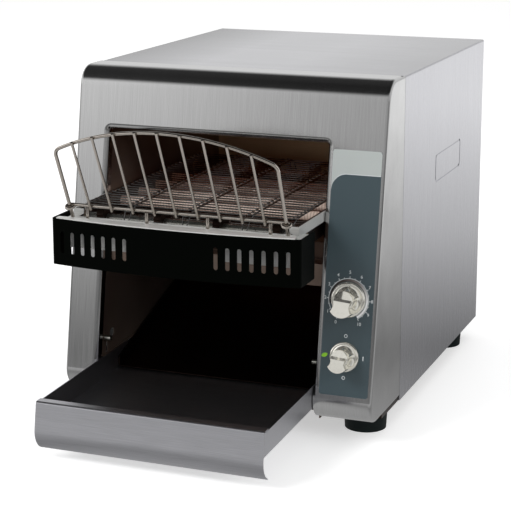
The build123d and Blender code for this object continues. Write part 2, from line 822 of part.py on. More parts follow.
for name, y in (("idler_sprockets", idler_shaft_y), ("drive_sprockets", drive_shaft_y)):
    with BuildPart() as sprockets:
        for x in sprocket_xs:
            toothed_wheel(x, y, belt_z, belt_sprocket_r, sprocket_w, belt_teeth, belt_wire / 2, shaft_r)
    sprockets.part.label = name
    export_step(sprockets.part, f"parts/{name}.step")

belt_rows = int((drive_y - idler_y) / belt_pitch)

with BuildPart() as conveyor_belt:
    with BuildSketch(Plane.YZ.offset(chamber_x)) as loop:
        with Locations((middle((idler_shaft_y, drive_shaft_y)), belt_z)):
            SlotCenterToCenter(drive_y - idler_y, 2 * belt_turn_r)
            SlotCenterToCenter(drive_y - idler_y, 2 * belt_inner_r, mode=Mode.SUBTRACT)
    extrude(amount=belt_w / 2, both=True)
    with Locations((chamber_x, middle((idler_shaft_y, drive_shaft_y)), belt_z)):
        with GridLocations(0, belt_pitch, 1, belt_rows):
            Box(belt_w - 2 * belt_edge, belt_pitch - belt_wire, 3 * belt_turn_r, mode=Mode.SUBTRACT)
conveyor_belt.part.label = "conveyor_belt"
export_step(conveyor_belt.part, "parts/conveyor_belt.step")

# ---------------------------------------------------------------- collection tray

tray_along = Vector(0, cos(radians(tray_incline)), sin(radians(tray_incline)))
tray_centre = Vector(chamber_x, seam_y - tray_reach + bottom_curl_r, deck + tray_curl_z)
tray_side = Plane(origin=tray_centre, x_dir=tray_along, z_dir=(1, 0, 0))
tray_half = opening_half - tray_gap
tray_lean = radians(lean + tray_incline)
face_dir = Vector(sin(tray_lean), cos(tray_lean))
curl_from = Vector(-cos(tray_lean), sin(tray_lean))
pan_top = pan_low + pan_wall_h


def tray_section(along):
    """Plane across the tray at a distance along it: local X is the row's X, local Y the tray's up."""
    return Plane(origin=tray_centre + tray_along * along, x_dir=(1, 0, 0), z_dir=tray_along * -1)


with BuildPart() as tray_front:
    mid_r = bottom_curl_r - sheet / 2
    face_low = curl_from * mid_r
    face_high = face_low + face_dir * tray_face_h
    with BuildSketch(tray_side) as front_section:
        with BuildLine() as front_line:
            FilletPolyline(face_high + Vector(tray_rim, 0), face_high, face_low, radius=tray_rim_r)
            CenterArc((0, 0), mid_r, 180 - lean - tray_incline, lean + 2 * tray_incline + tray_curl_end)
        trace(line_width=sheet)
    extrude(amount=tray_half, both=True)
tray_front.part.label = "tray_front"
export_step(tray_front.part, "parts/tray_front.step")

with BuildPart() as tray_pan:
    with BuildSketch(tray_section(pan_rear)) as pan_section:
        with Locations((0, middle((pan_low, pan_top)))):
            Rectangle(2 * tray_half, pan_wall_h)
            fillet(pan_section.vertices().group_by(Axis.Y)[0], 2 * pan_t)
        with Locations((0, middle((pan_low + pan_t, pan_top)) + pan_t / 2)):
            Rectangle(2 * (tray_half - pan_t), pan_wall_h, mode=Mode.SUBTRACT)
    extrude(amount=pan_rear + bottom_curl_r)
    with BuildSketch(tray_side) as ahead_of_pan:
        inner_low = curl_from * (bottom_curl_r - sheet)
        with BuildLine():
            Polyline(
                inner_low,
                inner_low + face_dir * 2 * pan_wall_h,
                inner_low + face_dir * 2 * pan_wall_h - Vector(2 * bottom_curl_r, 0),
                inner_low - Vector(2 * bottom_curl_r, 0),
                close=True,
            )
        make_face()
    extrude(amount=tray_half + sheet, both=True, mode=Mode.SUBTRACT)
tray_pan.part.label = "tray_pan"
export_step(tray_pan.part, "parts/tray_pan.step")

with BuildPart() as tray_runners:
    for side in (-1, 1):
        web = (side * (wall_half - pan_t), side * wall_half)
        ledge = (side * (wall_half - pan_t - runner_ledge), side * wall_half)
        hook = (side * (wall_half - pan_t - runner_hook), side * wall_half)
        low = pan_low - slip
        high = pan_top + slip
        with BuildSketch(tray_section(runner_rear)) as runner_section:
            for x_span, v_span in (
                (web, (low - sheet, high + sheet)),
                (ledge, (low - sheet, low)),
                (hook, (high, high + sheet)),
            ):
                with Locations((middle(x_span), middle(v_span))):
                    Rectangle(abs(x_span[1] - x_span[0]), v_span[1] - v_span[0])
        extrude(amount=runner_rear - runner_front)
tray_runners.part.label = "tray_runners"
export_step(tray_runners.part, "parts/tray_runners.step")

# ---------------------------------------------------------------- discharge chute

lip = (seam_y + chute_lip_y, chute_z(seam_y + chute_lip_y))
knee = (chute_y, chute_z(chute_y))
head = (chute_y, deck + chute_top)
inner_knee = (chute_y - chute_flange, chute_z(chute_y - chute_flange) + chute_flange)

with BuildPart() as discharge_chute:
    with BuildSketch(Plane.YZ.offset(chamber_x)) as chute_section:
        with BuildLine():
            FilletPolyline(lip, knee, head, radius=chute_bend_r)
        trace(line_width=sheet)
    extrude(amount=chute_half, both=True)
    for side in (-1, 1):
        with BuildSketch(Plane.YZ.offset(chamber_x + side * (chute_half - sheet))) as cheek:
            with BuildLine():
                Polyline(
                    lip,
                    knee,
                    head,
                    (head[0] - chute_flange, head[1]),
                    inner_knee,
                    (lip[0], lip[1] + chute_flange),
                    close=True,
                )
            make_face()
            fillet(cheek.vertices().sort_by_distance(knee)[0], chute_bend_r)
            fillet(cheek.vertices().sort_by_distance(inner_knee)[0], chute_bend_r - chute_flange)
        extrude(amount=side * sheet)
discharge_chute.part.label = "discharge_chute"
export_step(discharge_chute.part, "parts/discharge_chute.step")

with BuildPart() as chute_rest_rod:
    bar_x(rest_rod_r, (chamber_x - wall_outer, chamber_x + wall_outer), rod_y, rod_z)
chute_rest_rod.part.label = "chute_rest_rod"
export_step(chute_rest_rod.part, "parts/chute_rest_rod.step")

# ---------------------------------------------------------------- crumb tray

crumb_z = deck + crumb_floor
crumb_y = (seam_y + crumb_front, seam_y + crumb_rear)

with BuildPart() as crumb_tray:
    crumb_x = (chamber_x - crumb_half, chamber_x + crumb_half)
    block(crumb_x, crumb_y, (crumb_z, crumb_z + crumb_h))
    block(
        (crumb_x[0] + sheet, crumb_x[1] - sheet),
        (crumb_y[0] + sheet, crumb_y[1] - sheet),
        (crumb_z + sheet, crumb_z + crumb_h),
        mode=Mode.SUBTRACT,
    )
    block(crumb_x, (crumb_y[0], crumb_y[0] + sheet), (crumb_z - crumb_pull, crumb_z))
crumb_tray.part.label = "crumb_tray"
export_step(crumb_tray.part, "parts/crumb_tray.step")

with BuildPart() as crumb_runners:
    for side in (-1, 1):
        ledge = (chamber_x + side * (wall_half - crumb_runner_w), chamber_x + side * wall_half)
        top = crumb_z - slip
        block(ledge, (crumb_y[0] + flange, crumb_y[1]), (top - sheet, top))
crumb_runners.part.label = "crumb_runners"
export_step(crumb_runners.part, "parts/crumb_runners.step")

# ---------------------------------------------------------------- guard, ledge and rack

guard_y = seam_y + guard_front
guard_z = (deck + guard_bottom, deck + guard_top)
guard_rear = guard_y + guard_flange
guard_inner = (chamber_x - guard_half + sheet, chamber_x + guard_half - sheet)


def guard_plan(inset, rear):
    """Plan of the guard, moved inwards by inset: bowed front between two straight sides."""
    ends = chamber_x - guard_half + inset, chamber_x + guard_half - inset
    front = guard_y + inset
    with BuildSketch() as plan:
        with BuildLine():
            ThreePointArc((ends[0], front), (chamber_x, front - guard_bow), (ends[1], front))
            Polyline((ends[1], front), (ends[1], rear), (ends[0], rear), (ends[0], front))
        make_face()
        fillet(plan.vertices().group_by(Axis.Y)[0], guard_r - inset)
    return plan.sketch


with BuildPart() as front_guard:
    with BuildSketch(Plane.XY.offset(guard_z[0])):
        add(guard_plan(0, guard_rear))
    extrude(amount=guard_z[1] - guard_z[0])
    with BuildSketch(Plane.XY.offset(guard_z[0] + sheet)):
        add(guard_plan(sheet, guard_rear + flange))
    extrude(amount=guard_z[1] - guard_z[0], mode=Mode.SUBTRACT)
    bottom = (guard_z[0], guard_z[0] + sheet)
    block(guard_inner, (guard_y + guard_lip, guard_rear), bottom, mode=Mode.SUBTRACT)
    with BuildSketch(Plane.XZ.offset(guard_bow - guard_y)):
        for side in (-1, 1):
            with Locations((chamber_x + side * (guard_half - slots_in), deck + slot_z)):
                with GridLocations(slots_pitch, 0, slots_per_group, 1):
                    SlotOverall(slot_l, slot_w, rotation=90)
    extrude(amount=-guard_bow - 2 * sheet, mode=Mode.SUBTRACT)
front_guard.part.label = "front_guard"
export_step(front_guard.part, "parts/front_guard.step")

ledge_x = (chamber_x - ledge_half, chamber_x + ledge_half)
ledge_z = (guard_z[1], guard_z[1] + sheet)
step_y = guard_y + ledge_depth
shelf_y = step_y + shelf_depth
shelf_z = (ledge_z[0] - ledge_drop, ledge_z[1] - ledge_drop)
rack_angle = radians(rack_lean)
rack_up = Vector(0, -sin(rack_angle), cos(rack_angle))
rack_ahead = Vector(0, -cos(rack_angle), -sin(rack_angle))
rack_foot = Vector(chamber_x, seam_y + rack_foot_y, shelf_z[1])


def on_rack(x, s, ahead=0.0):
    """Point at x from the chamber's middle and s up the rack, ahead of its plane."""
    return rack_foot + Vector(x, 0, 0) + rack_up * s + rack_ahead * ahead


rack_bar_behind = 2 * rack_wire_r + weld_gap
bar_at = on_rack(0, rack_bar_up, -rack_bar_behind)
post_pitch = 2 * (rack_foot_half - rack_post_in) / (rack_posts - 1)
cheek_inner = bush_end + slip
hem_x = (chamber_x - cheek_inner, chamber_x + cheek_inner)
cheek_y = seam_y + rail_front  # rear face of a cheek's front flange, against its rail
cheek_z = (shelf_z[0], deck + cheek_top)

with BuildPart() as guard_ledge:
    with BuildSketch(Plane.XY.offset(ledge_z[0])):
        add(guard_plan(0, step_y))
        with Locations((chamber_x, guard_y)):
            Rectangle(2 * ledge_half, 2 * guard_flange, mode=Mode.INTERSECT)
    extrude(amount=sheet)
    block(ledge_x, (step_y - sheet, step_y), (shelf_z[0], ledge_z[1]))
    block(ledge_x, (step_y - sheet, shelf_y), shelf_z)
    block(hem_x, (shelf_y - sheet, shelf_y), (shelf_z[0], shelf_z[1] + shelf_hem))
    for side in (-1, 1):
        plate = (chamber_x + side * slot_plate_span[0], chamber_x + side * slot_plate_span[1])
        block(plate, (step_y - sheet, step_y), (deck + slot_plate_bottom, shelf_z[1]))
        arm = (chamber_x + side * cheek_inner, chamber_x + side * ledge_half)
        block(arm, (shelf_y - sheet, guard_rear), shelf_z)
        cheek = (chamber_x + side * cheek_inner, chamber_x + side * (cheek_inner + sheet))
        block(cheek, (cheek_y - sheet, seam_y + cheek_rear), cheek_z)
        with BuildSketch(Plane.XZ.offset(sheet - cheek_y)):
            with BuildLine():
                Polyline(
                    (cheek[1], cheek_z[0]),
                    (cheek[1], cheek_z[1]),
                    (cheek[1] - side * cheek_reach, cheek_z[1]),
                    (cheek[1] - side * cheek_reach, cheek_z[0] + cheek_cut),
                    (cheek[0] - side * sheet, cheek_z[0]),
                    close=True,
                )
            make_face()
        extrude(amount=-sheet)
    with Locations((chamber_x, bar_at.Y, middle(shelf_z))):
        with GridLocations(post_pitch, 0, rack_posts, 1):
            Cylinder(rack_hole_r, 2 * sheet, mode=Mode.SUBTRACT)
guard_ledge.part.label = "guard_ledge"
export_step(guard_ledge.part, "parts/guard_ledge.step")

rack_plane = Plane(origin=rack_foot, x_dir=(1, 0, 0), z_dir=rack_ahead)
rack_foot_s = (shelf_gap + rack_wire_r * sin(rack_angle)) / cos(rack_angle)
arch_drop = rack_arch_r - (rack_arch_r**2 - rack_top_half**2) ** 0.5
shoulder_s = rack_arch_h - arch_drop
eye_x = rack_foot_half + rack_splay * rack_bar_up / shoulder_s
eye_turn = 270
bar_plane = Plane(origin=on_rack(0, rack_bar_up), x_dir=(1, 0, 0), z_dir=rack_up)
upright_ahead = rack_wire_r + rack_upright_r + weld_gap
upright_pitch = 2 * rack_top_half / (rack_uprights + 1)
post_z = (shelf_z[1] - rack_post_plug, bar_at.Z - rack_wire_r - weld_gap)


def wire(start, end, radius):
    """Straight round wire between two points."""
    along = end - start
    with BuildSketch(Plane(origin=start, z_dir=along)) as section:
        Circle(radius)
    extrude(section.sketch, amount=along.length)


with BuildPart() as loading_rack:
    with BuildLine(rack_plane) as frame_line:
        Line((-rack_foot_half, rack_foot_s), (-rack_top_half, shoulder_s))
        ThreePointArc((-rack_top_half, shoulder_s), (0, rack_arch_h), (rack_top_half, shoulder_s))
        Line((rack_top_half, shoulder_s), (rack_foot_half, rack_foot_s))
        fillet(frame_line.vertices().sort_by(Axis.Z)[2:], rack_corner_r)
    with BuildSketch(Plane(origin=frame_line.line @ 0, z_dir=frame_line.line % 0)) as frame_wire:
        Circle(rack_wire_r)
    sweep(path=frame_line.line)
    with BuildLine(bar_plane) as bar_line:
        CenterArc((-eye_x, 0), rack_bar_behind, 0, -eye_turn)
        Line((-eye_x, rack_bar_behind), (eye_x, rack_bar_behind))
        CenterArc((eye_x, 0), rack_bar_behind, 90, -eye_turn)
    with BuildSketch(Plane(origin=bar_line.line @ 0, z_dir=bar_line.line % 0)) as bar_wire:
        Circle(rack_wire_r)
    sweep(path=bar_line.line)
    for i in range(rack_uprights):
        x = (i - (rack_uprights - 1) / 2) * upright_pitch
        arch_s = rack_arch_h - rack_arch_r + (rack_arch_r**2 - x**2) ** 0.5
        low = on_rack(x, rack_bar_up, upright_ahead - rack_bar_behind)
        high = on_rack(x, arch_s, upright_ahead)
        over = (high - low).normalized() * rack_upright_over
        wire(low - over, high + over, rack_upright_r)
    with Locations((chamber_x, bar_at.Y, middle(post_z))):
        with GridLocations(post_pitch, 0, rack_posts, 1):
            Cylinder(rack_wire_r, post_z[1] - post_z[0])
loading_rack.part.label = "loading_rack"
export_step(loading_rack.part, "parts/loading_rack.step")

# ---------------------------------------------------------------- controls

label_span = (opening_right + label_in, half_w - label_out)
label_mid_x = middle(label_span)
label_mid_z = deck + middle((label_z0, label_z1))

with BuildPart() as control_label:
    with BuildSketch(face_plane(label_mid_x, label_mid_z)) as label_outline:
        RectangleRounded(label_span[1] - label_span[0], (label_z1 - label_z0) * up_face, label_r)
    extrude(amount=label_t)
    for x, z in ((speed_x, deck + speed_z), (mode_x, deck + mode_z)):
        with Locations(face_plane(x, z)):
            Cylinder(control_neck_r + running_fit, 4 * sheet, mode=Mode.SUBTRACT)
control_label.part.label = "control_label"
export_step(control_label.part, "parts/control_label.step")


def knob(x, z, skirt, grip):
    """Skirted knob: a drum, a flat grip below and a pointer above it, its bore from behind."""
    seat = face_plane(x, deck + z).offset(label_t + knob_gap)
    outward = Axis((0, 0, 0), seat.z_dir)
    base = Plane(origin=seat.origin, x_dir=seat.x_dir.rotate(outward, -knob_rest_turn), z_dir=seat.z_dir)
    drum = grip / 2 + drum_out
    corner = skirt - grip_corner_in
    with BuildPart() as whole:
        with BuildSketch(base) as skirt_disc:
            Circle(skirt)
        extrude(amount=skirt_h)
        with BuildSketch(base) as drum_disc:
            Circle(drum)
        extrude(amount=drum_h)
        drum_edges = whole.edges().filter_by(GeomType.CIRCLE).group_by(SortBy.RADIUS)[0]
        fillet(drum_edges.sort_by(outward)[0], drum_foot_r)
        skirt_edges = whole.edges().filter_by(GeomType.CIRCLE).group_by(SortBy.RADIUS)[-1]
        fillet(skirt_edges.sort_by(outward)[-1], skirt_round)
        fillet(whole.edges().sort_by(outward)[-1], drum_round)
        with BuildSketch(base.offset(skirt_h)) as pointer_foot:
            Polygon(
                (-drum - pointer_out, pointer_shoulder),
                (drum + pointer_out, pointer_shoulder),
                (0, skirt - pointer_in),
                align=None,
            )
        with BuildSketch(base.offset(drum_h - drum_drop)) as pointer_top:
            Polygon(
                (-drum + drum_round, crease_w),
                (drum - drum_round, crease_w),
                (0, drum - drum_round),
                align=None,
            )
        loft()
        with BuildSketch(base) as grip_outline:
            with BuildLine():
                flare = ThreePointArc(
                    (grip / 2, crease_w),
                    (grip / 2 - grip_waist, -corner / 2),
                    (grip / 2 + grip_flare, -corner),
                )
                ThreePointArc(flare @ 1, (0, grip_in - skirt), (-grip / 2 - grip_flare, -corner))
                mirror(flare, about=Plane.YZ)
                Line((-grip / 2, crease_w), (grip / 2, crease_w))
            make_face()
        extrude(amount=grip_h)
        with BuildSketch(Plane(origin=base.origin, x_dir=base.y_dir, z_dir=base.x_dir)) as slope_cut:
            with BuildLine():
                Polyline(
                    (0, grip_h),
                    (crease_w, drum_h),
                    (skirt, drum_h - drum_drop * skirt / drum),
                    (skirt, grip_h + slip),
                    (0, grip_h + slip),
                    close=True,
                )
            make_face()
        extrude(amount=skirt, both=True, mode=Mode.SUBTRACT)
        with BuildSketch(base) as bore:
            Circle(spindle_r)
        extrude(amount=spindle_in_knob, mode=Mode.SUBTRACT)
    return whole.part


def spindle(x, z):
    """Spindle from inside a control to the end of its knob's bore."""
    start = label_t + knob_gap + spindle_in_knob
    with BuildSketch(face_plane(x, deck + z).offset(start)) as section:
        Circle(spindle_r)
    extrude(section.sketch, amount=-start - sheet - spindle_in_control)


def control_bores(x, z):
    """Neck through the panel and the label, and the bore for the spindle."""
    surface = face_plane(x, deck + z)
    with BuildSketch(surface.offset(label_t)) as neck:
        Circle(control_neck_r)
    extrude(neck.sketch, amount=-label_t - sheet)
    with BuildSketch(surface.offset(label_t)) as bore:
        Circle(spindle_r + running_fit)
    extrude(bore.sketch, amount=-label_t - sheet - spindle_in_control - slip, mode=Mode.SUBTRACT)


with BuildPart() as speed_knob:
    add(knob(speed_x, speed_z, speed_skirt_r, speed_grip_w))
speed_knob.part.label = "speed_knob"
export_step(speed_knob.part, "parts/speed_knob.step")

with BuildPart() as mode_knob:
    add(knob(mode_x, mode_z, mode_skirt_r, mode_grip_w))
mode_knob.part.label = "mode_knob"
export_step(mode_knob.part, "parts/mode_knob.step")

with BuildPart() as speed_spindle:
    spindle(speed_x, speed_z)
speed_spindle.part.label = "speed_spindle"
export_step(speed_spindle.part, "parts/speed_spindle.step")

with BuildPart() as mode_spindle:
    spindle(mode_x, mode_z)
mode_spindle.part.label = "mode_spindle"
export_step(mode_spindle.part, "parts/mode_spindle.step")

with BuildPart() as speed_control:
    with BuildSketch(face_plane(speed_x, deck + speed_z).offset(-sheet)) as speed_case:
        Circle(speed_case_r)
    extrude(amount=-control_depth)
    control_bores(speed_x, speed_z)
speed_control.part.label = "speed_control"
export_step(speed_control.part, "parts/speed_control.step")

with BuildPart() as mode_switch:
    with BuildSketch(face_plane(mode_x, deck + mode_z).offset(-sheet)) as mode_case:
        RectangleRounded(mode_case_w, mode_case_w, 2 * sheet)
    extrude(amount=-control_depth)
    control_bores(mode_x, mode_z)
mode_switch.part.label = "mode_switch"
export_step(mode_switch.part, "parts/mode_switch.step")

# ---------------------------------------------------------------- drive

motor_shaft_y = seam_y + motor_y
motor_shaft_z = deck + motor_z
wheel_pitch_r = chain_pitch / (2 * sin(pi / wheel_teeth))
pinion_pitch_r = chain_pitch / (2 * sin(pi / pinion_teeth))
inside_chain = chain_h / 2 + chain_gap
bracket_x = chain_x + chain_w / 2 + bracket_gap
gearbox_x = bracket_x + bracket_t
gearbox_y = (motor_shaft_y - gearbox_w / 2, motor_shaft_y + gearbox_w / 2)
gearbox_z = (motor_shaft_z - gearbox_w / 2, motor_shaft_z + gearbox_w / 2)

with BuildPart() as chain_wheel:
    wheel_r = wheel_pitch_r - inside_chain
    toothed_wheel(chain_x, drive_shaft_y, belt_z, wheel_r, sprocket_t, wheel_teeth, chain_notch_r, shaft_r)
chain_wheel.part.label = "chain_wheel"
export_step(chain_wheel.part, "parts/chain_wheel.step")

with BuildPart() as motor_sprocket:
    pinion_r = pinion_pitch_r - inside_chain
    toothed_wheel(
        chain_x, motor_shaft_y, motor_shaft_z, pinion_r, sprocket_t, pinion_teeth, chain_notch_r, motor_shaft_r
    )
motor_sprocket.part.label = "motor_sprocket"
export_step(motor_sprocket.part, "parts/motor_sprocket.step")

with BuildPart() as motor_shaft:
    bar_x(motor_shaft_r, (chain_x - sprocket_t, gearbox_x + shaft_in_motor), motor_shaft_y, motor_shaft_z)
motor_shaft.part.label = "motor_shaft"
export_step(motor_shaft.part, "parts/motor_shaft.step")


def chain_hull(outwards):
    """Outline around both chain wheels at a distance outside their pitch circles."""
    with BuildSketch(Plane.YZ.offset(chain_x - chain_w / 2)) as outline:
        with Locations((drive_shaft_y, belt_z)):
            Circle(wheel_pitch_r + outwards)
        with Locations((motor_shaft_y, motor_shaft_z)):
            Circle(pinion_pitch_r + outwards)
        make_hull()
    return outline.sketch


with BuildPart() as drive_chain:
    extrude(chain_hull(chain_h / 2), amount=chain_w)
    extrude(chain_hull(-chain_h / 2), amount=chain_w, mode=Mode.SUBTRACT)
drive_chain.part.label = "drive_chain"
export_step(drive_chain.part, "parts/drive_chain.step")

with BuildPart() as motor_bracket:
    bracket_y = (gearbox_y[0] - bracket_over, gearbox_y[1] + bracket_over)
    block((bracket_x, gearbox_x), bracket_y, (floor_z, gearbox_z[1]))
    block((gearbox_x, gearbox_x + flange), bracket_y, (floor_z, floor_z + bracket_t))
    bar_x(motor_shaft_r + slip, (bracket_x, gearbox_x), motor_shaft_y, motor_shaft_z, mode=Mode.SUBTRACT)
motor_bracket.part.label = "motor_bracket"
export_step(motor_bracket.part, "parts/motor_bracket.step")

with BuildPart() as gearmotor:
    block((gearbox_x, gearbox_x + gearbox_t), gearbox_y, gearbox_z)
    fillet(gearmotor.edges().filter_by(Axis.X), bracket_over)
    can_x = (gearbox_x + gearbox_t, gearbox_x + gearbox_t + motor_can_l)
    bar_x(motor_can_r, can_x, motor_shaft_y, motor_shaft_z)
    bore_x = (gearbox_x, gearbox_x + shaft_in_motor + slip)
    bar_x(motor_shaft_r + running_fit, bore_x, motor_shaft_y, motor_shaft_z, mode=Mode.SUBTRACT)
gearmotor.part.label = "gearmotor"
export_step(gearmotor.part, "parts/gearmotor.step")

# ---------------------------------------------------------------- fan

frame_y = (rear_y - sheet - fan_t, rear_y - sheet)
strut_y = (frame_y[0], frame_y[0] + fan_back_t)

with BuildPart() as fan_frame:
    block((fan_x - fan_w / 2, fan_x + fan_w / 2), frame_y, (fan_place_z - fan_w / 2, fan_place_z + fan_w / 2))
    fillet(fan_frame.edges().filter_by(Axis.Y), bracket_over)
    bar_y(fan_bore_r, fan_x, frame_y, fan_place_z, mode=Mode.SUBTRACT)
    strut_l = 2 * fan_bore_r + sheet
    with Locations((fan_x, middle(strut_y), fan_place_z)):
        Box(strut_l, fan_back_t, fan_strut_w)
        Box(fan_strut_w, fan_back_t, strut_l)
    bar_y(fan_hub_r, fan_x, strut_y, fan_place_z)
    bar_y(fan_pin_r + running_fit, fan_x, strut_y, fan_place_z, mode=Mode.SUBTRACT)
    for x, z in fan_corners:
        bar_y(screw_r, x, frame_y, z, mode=Mode.SUBTRACT)
fan_frame.part.label = "fan_frame"
export_step(fan_frame.part, "parts/fan_frame.step")

with BuildPart() as fan_rotor:
    hub_y = (strut_y[1] + 2 * slip, frame_y[1] - fan_back_t)
    bar_y(fan_hub_r, fan_x, hub_y, fan_place_z)
    bar_y(fan_pin_r, fan_x, (strut_y[0], hub_y[0]), fan_place_z)
    blade_l = blade_tip_r - fan_hub_r + sheet
    with Locations(Plane(origin=(fan_x, middle(hub_y), fan_place_z), x_dir=(1, 0, 0), z_dir=(0, 1, 0))):
        with PolarLocations(blade_tip_r - blade_l / 2, blade_count):
            Box(blade_l, blade_t, blade_chord, rotation=(blade_pitch, 0, 0))
fan_rotor.part.label = "fan_rotor"
export_step(fan_rotor.part, "parts/fan_rotor.step")

bars_y = rear_y + guard_wire_r + slip
rings_y = bars_y + guard_wire_r + slip

with BuildPart() as fan_guard:
    for x, z in fan_corners:
        wire(Vector(fan_x, bars_y, fan_place_z), Vector(x, bars_y, z), guard_wire_r)
        bar_y(guard_lug_r, x, (rear_y, rear_y + lug_t), z)
        bar_y(screw_r, x, (rear_y, rear_y + flange), z, mode=Mode.SUBTRACT)
    with Locations(Plane(origin=(fan_x, rings_y, fan_place_z), z_dir=(0, 1, 0))):
        for i in range(guard_rings):
            Torus(guard_ring_step * (i + 1), guard_wire_r)
for x, z in fan_corners:
    with BuildPart() as lug_clearance:
        bar_y(screw_head_r, x, (rear_y + lug_t, rear_y + flange), z)
    fan_guard.part -= lug_clearance.part
fan_guard.part.label = "fan_guard"
export_step(fan_guard.part, "parts/fan_guard.step")

# ---------------------------------------------------------------- electrical pieces

gland_at = (right_bay_x, deck + gland_z)

with BuildPart() as cord_inlet:
    bar_y(gland_r, gland_at[0], (rear_y, rear_y + gland_reach), gland_at[1])
    fillet(cord_inlet.edges().sort_by(Axis.Y)[-1], 2 * sheet)
    bar_y(gland_neck_r, gland_at[0], (rear_y - sheet, rear_y), gland_at[1])
    bar_y(gland_r, gland_at[0], (rear_y - sheet - fan_back_t, rear_y - sheet), gland_at[1])
    bar_y(gland_bore_r, gland_at[0], (rear_y - flange, rear_y + gland_reach), gland_at[1], mode=Mode.SUBTRACT)
cord_inlet.part.label = "cord_inlet"
export_step(cord_inlet.part, "parts/cord_inlet.step")

with BuildPart() as terminal_block:
    terminal_top = floor_z + terminal_size[2]
    with Locations((right_bay_x, seam_y + terminal_y, floor_z + terminal_size[2] / 2)):
        Box(*terminal_size)
    with Locations((right_bay_x, seam_y + terminal_y, terminal_top - terminal_size[2] / 4)):
        with GridLocations(terminal_size[0] / terminal_ways, terminal_size[1] / 2, terminal_ways, 2):
            Cylinder(screw_r, terminal_size[2] / 2, mode=Mode.SUBTRACT)
terminal_block.part.label = "terminal_block"
export_step(terminal_block.part, "parts/terminal_block.step")

with BuildPart() as power_relay:
    relay_top = floor_z + relay_size[2]
    with Locations((right_bay_x, seam_y + relay_y, floor_z + relay_size[2] / 2)):
        Box(*relay_size)
    with Locations((right_bay_x, seam_y + relay_y, relay_top + blade_size[2] / 2)):
        with GridLocations(relay_size[0] / 2, relay_size[1] / 2, 2, 2):
            Box(*blade_size)
power_relay.part.label = "power_relay"
export_step(power_relay.part, "parts/power_relay.step")

board_x = (right_wall_x + standoff_h, right_wall_x + standoff_h + board_t)
board_corners = [
    (seam_y + y + i * standoff_in, deck + z + j * standoff_in)
    for y, i in zip(board_y, (1, -1))
    for z, j in zip(board_z, (1, -1))
]

with BuildPart() as speed_board:
    block(board_x, (seam_y + board_y[0], seam_y + board_y[1]), (deck + board_z[0], deck + board_z[1]))
    with Locations((board_x[1] + standoff_r, seam_y + middle(board_y), deck + middle(board_z))):
        Box(2 * standoff_r, terminal_size[0], terminal_size[1])
    for y, z in board_corners:
        bar_x(screw_r, board_x, y, z, mode=Mode.SUBTRACT)
speed_board.part.label = "speed_board"
export_step(speed_board.part, "parts/speed_board.step")

with BuildPart() as board_standoffs:
    for y, z in board_corners:
        bar_x(standoff_r, (right_wall_x, board_x[0]), y, z)
        bar_x(screw_r, board_x, y, z)
board_standoffs.part.label = "board_standoffs"
export_step(board_standoffs.part, "parts/board_standoffs.step")

with BuildPart() as limit_thermostat:
    at = (seam_y + thermostat_y, deck + thermostat_z)
    bar_x(thermostat_r, (right_wall_x, right_wall_x + thermostat_h), at[0], at[1])
    ear = (right_wall_x, right_wall_x + sheet)
    block(
        ear,
        (at[0] - thermostat_ear / 2, at[0] + thermostat_ear / 2),
        (at[1] - screw_head_r, at[1] + screw_head_r),
    )
    with Locations((right_wall_x + thermostat_h + blade_size[2] / 2, at[0], at[1])):
        with GridLocations(0, thermostat_r, 1, 2):
            Box(blade_size[2], blade_size[1], blade_size[0])
limit_thermostat.part.label = "limit_thermostat"
export_step(limit_thermostat.part, "parts/limit_thermostat.step")
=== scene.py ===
"""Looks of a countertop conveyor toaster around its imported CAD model. Lengths in metres."""

import math

import bpy
from mathutils import Matrix, Vector
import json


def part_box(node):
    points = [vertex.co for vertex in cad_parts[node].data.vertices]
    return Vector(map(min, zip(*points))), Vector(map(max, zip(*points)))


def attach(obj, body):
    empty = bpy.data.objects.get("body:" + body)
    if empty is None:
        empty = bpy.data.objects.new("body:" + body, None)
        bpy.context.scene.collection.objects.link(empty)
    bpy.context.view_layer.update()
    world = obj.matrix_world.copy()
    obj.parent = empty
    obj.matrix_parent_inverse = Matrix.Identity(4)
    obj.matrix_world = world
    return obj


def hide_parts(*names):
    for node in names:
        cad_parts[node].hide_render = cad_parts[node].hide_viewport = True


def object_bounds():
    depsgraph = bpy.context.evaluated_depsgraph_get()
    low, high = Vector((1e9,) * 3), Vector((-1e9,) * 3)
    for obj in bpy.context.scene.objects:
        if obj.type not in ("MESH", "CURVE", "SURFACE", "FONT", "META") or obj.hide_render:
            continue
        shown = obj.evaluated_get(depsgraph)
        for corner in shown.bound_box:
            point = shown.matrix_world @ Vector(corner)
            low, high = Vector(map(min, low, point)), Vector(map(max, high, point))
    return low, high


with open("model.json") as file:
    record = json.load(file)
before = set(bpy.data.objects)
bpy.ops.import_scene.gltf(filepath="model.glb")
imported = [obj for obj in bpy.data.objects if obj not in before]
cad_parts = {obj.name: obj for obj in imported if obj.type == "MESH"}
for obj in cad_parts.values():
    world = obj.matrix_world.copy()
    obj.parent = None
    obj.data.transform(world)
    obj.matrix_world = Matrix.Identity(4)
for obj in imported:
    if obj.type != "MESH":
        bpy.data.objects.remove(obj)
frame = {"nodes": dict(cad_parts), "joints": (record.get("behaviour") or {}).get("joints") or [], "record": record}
cad_box = [list(corner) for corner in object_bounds()]
nodes = frame["nodes"]
joints = {joint["name"]: joint for joint in frame["joints"]}
mm = 0.001


def add_object(name, data):
    """A new object in the scene."""
    item = bpy.data.objects.new(name, data)
    bpy.context.scene.collection.objects.link(item)
    return item


def add_piece(name, data, body):
    """A new piece of the toaster that moves with a body."""
    piece = add_object(name, data)
    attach(piece, body)
    return piece


# ---------------------------------------------------------------- camera

